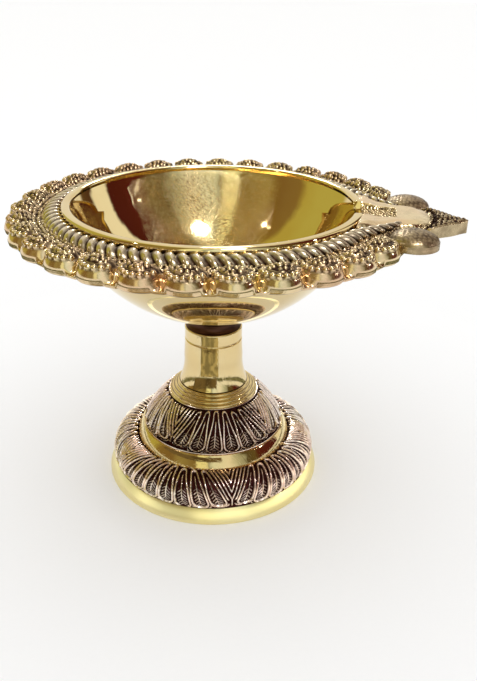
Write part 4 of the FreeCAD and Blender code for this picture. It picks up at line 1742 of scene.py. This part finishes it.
    def lamp(self, name: str, place: tuple[float, float, float], size: float, power: float) -> None:
        """A round soft light that looks at the lamp's middle.

        Args:
            name: The light's name.
            place: Where it hangs, in metres.
            size: Its width.
            power: Its power in watts.
        """
        data = bpy.data.lights.new(name, "AREA")
        data.shape = "DISK"
        data.size = size
        data.energy = power
        light = placed(name, data)
        light.visible_diffuse = False
        light.location = place
        light.rotation_mode = "QUATERNION"
        light.rotation_quaternion = (Vector((0, 0, 0.04)) - Vector(place)).to_track_quat("-Z", "Y")

    def camera(self) -> None:
        """The camera, a little above the rim and looking down into the bowl."""
        data = bpy.data.cameras.new("camera")
        data.lens = self.camera_lens
        data.sensor_width = 36.0
        data.clip_start = 0.005
        camera = placed("camera", data)
        spin = Matrix.Rotation(math.radians(self.camera_turn), 3, "Z")
        down, roll = math.radians(self.camera_down), math.radians(self.camera_roll)
        ahead = spin @ Vector((0.0, math.cos(down), -math.sin(down)))
        level = spin @ Vector((1.0, 0.0, 0.0))
        above = level.cross(ahead)
        right = level * math.cos(roll) + above * math.sin(roll)
        upward = above * math.cos(roll) - level * math.sin(roll)
        turn = Matrix((right, upward, -ahead)).transposed().to_4x4()
        place = spin @ Vector(self.camera_place) * MM
        camera.matrix_world = Matrix.Translation(place) @ turn
        bpy.context.scene.camera = camera

    def build(self) -> None:
        """Sets up the whole studio."""
        self.floor()
        self.surroundings()
        ground = self.ground
        self.card("outer_card", (0.21, 0.21, 0.12), [(0.145, ground), (0.27, ground)], 0.0, 360.0)
        self.card("front_card", (0.44, 0.38, 0.20), [(0.046, ground), (0.135, ground)], -46.0, 66.0)
        self.card("band_card", (0.14, 0.10, 0.045), [(0.050, 0.0235), (0.050, 0.034)], -62.0, 74.0)
        self.card("skirt_card", (1.2, 1.2, 1.02), [(0.038, 0.002), (0.038, 0.009)], 0.0, 360.0)
        self.lamp("bowl_light", (0.148, -0.228, 0.595), 0.13, 1.3)
        self.lamp("left_light", (-0.36, -0.21, 0.50), 0.03, 0.12)
        self.lamp("right_light", (0.55, -0.02, 0.28), 0.03, 0.12)
        self.lamp("back_light", (-0.08, 0.55, 0.42), 0.08, 0.5)
        self.camera()
        bpy.context.scene.view_settings.view_transform = "Standard"


def dress_fasteners(steel: bpy.types.Material) -> None:
    """Gives the washer and the tie screw inside the foot their finish.

    Args:
        steel: The finish of both.
    """
    for node in ("foot_washer", "foot_screw"):
        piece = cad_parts[node]
        for slot in piece.material_slots:
            slot.material = steel
        if not piece.material_slots:
            piece.data.materials.append(steel)
        LOG.info("%s dressed", node)


def main() -> None:
    """Builds every sub-assembly in order."""
    logging.basicConfig(level=logging.INFO, format="%(name)s: %(message)s")
    groups = {"mottle": mottle_group(), "scratches": scratch_group(), "patina": patina_group()}
    polished = Brass("polished_brass", roughness=0.05, cloud_roughness=0.04).material(groups)
    buffed = Brass("buffed_brass", roughness=0.03, cloud_roughness=0.04, scratch_scale=1000.0,
                   scratch_amount=1.0, bump_depth=0.00022, scratch_zone=True,
                   speck_share=0.01).material(groups)
    satin = Brass("satin_brass", roughness=0.30, clean=(0.90, 0.80, 0.44), warm=(0.88, 0.76, 0.38),
                  cloud_roughness=0.03, scratch_amount=0.2).material(groups)
    chased = Brass("chased_brass", clean=(1.0, 0.88, 0.80), warm=(0.94, 0.74, 0.66), roughness=0.22,
                   grime=0.45, dark=(0.042, 0.010, 0.009), patina_low=0.2,
                   patina_high=0.62).material(groups)
    rim = Brass("stippled_brass", clean=(0.80, 0.64, 0.38), warm=(0.76, 0.52, 0.32), roughness=0.14,
                patina_low=0.33, patina_high=1.0, grime=0.55).material(groups)
    rope = Brass("rope_brass", clean=(0.78, 0.68, 0.50), warm=(0.62, 0.50, 0.36), roughness=0.16,
                 patina_low=0.15, patina_high=0.95, grime=0.5).material(groups)
    # Painted shade: the neck and the dish's boss get a dark metal colour that stands for the bowl's shaded
    # underside they reflect.
    dark = Brass("dark_brass", clean=(0.10, 0.045, 0.03), warm=(0.05, 0.022, 0.016),
                 roughness=0.3).material(groups)
    steel = ScrewSteel().material(groups)

    sizes = DishSizes.read()
    Bowl(sizes).build(buffed, dark)
    RimBand(sizes).build(rim)
    RopeBorder(sizes).build(rope)
    SpoutLeaf(sizes).build(rim)

    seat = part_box("foot_lower")[1][2] / MM
    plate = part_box("foot_upper")[1][2] / MM
    stem_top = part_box("stem")[1][2] / MM
    NeckScrew(foot_level=stem_top, top_level=sizes.neck_top).build(dark, polished)
    Stem(foot_level=plate, top_level=stem_top).build(polished)
    UpperTier(seat, plate, PetalFans(fans=4, petals=6, first_turn=-117.0)).build(chased)
    LowerTier(seat, PetalFans(fans=5, petals=7, first_turn=-142.0)).build(chased, satin, polished)
    dress_fasteners(steel)
    Studio().build()


if __name__ == "__main__":
    main()
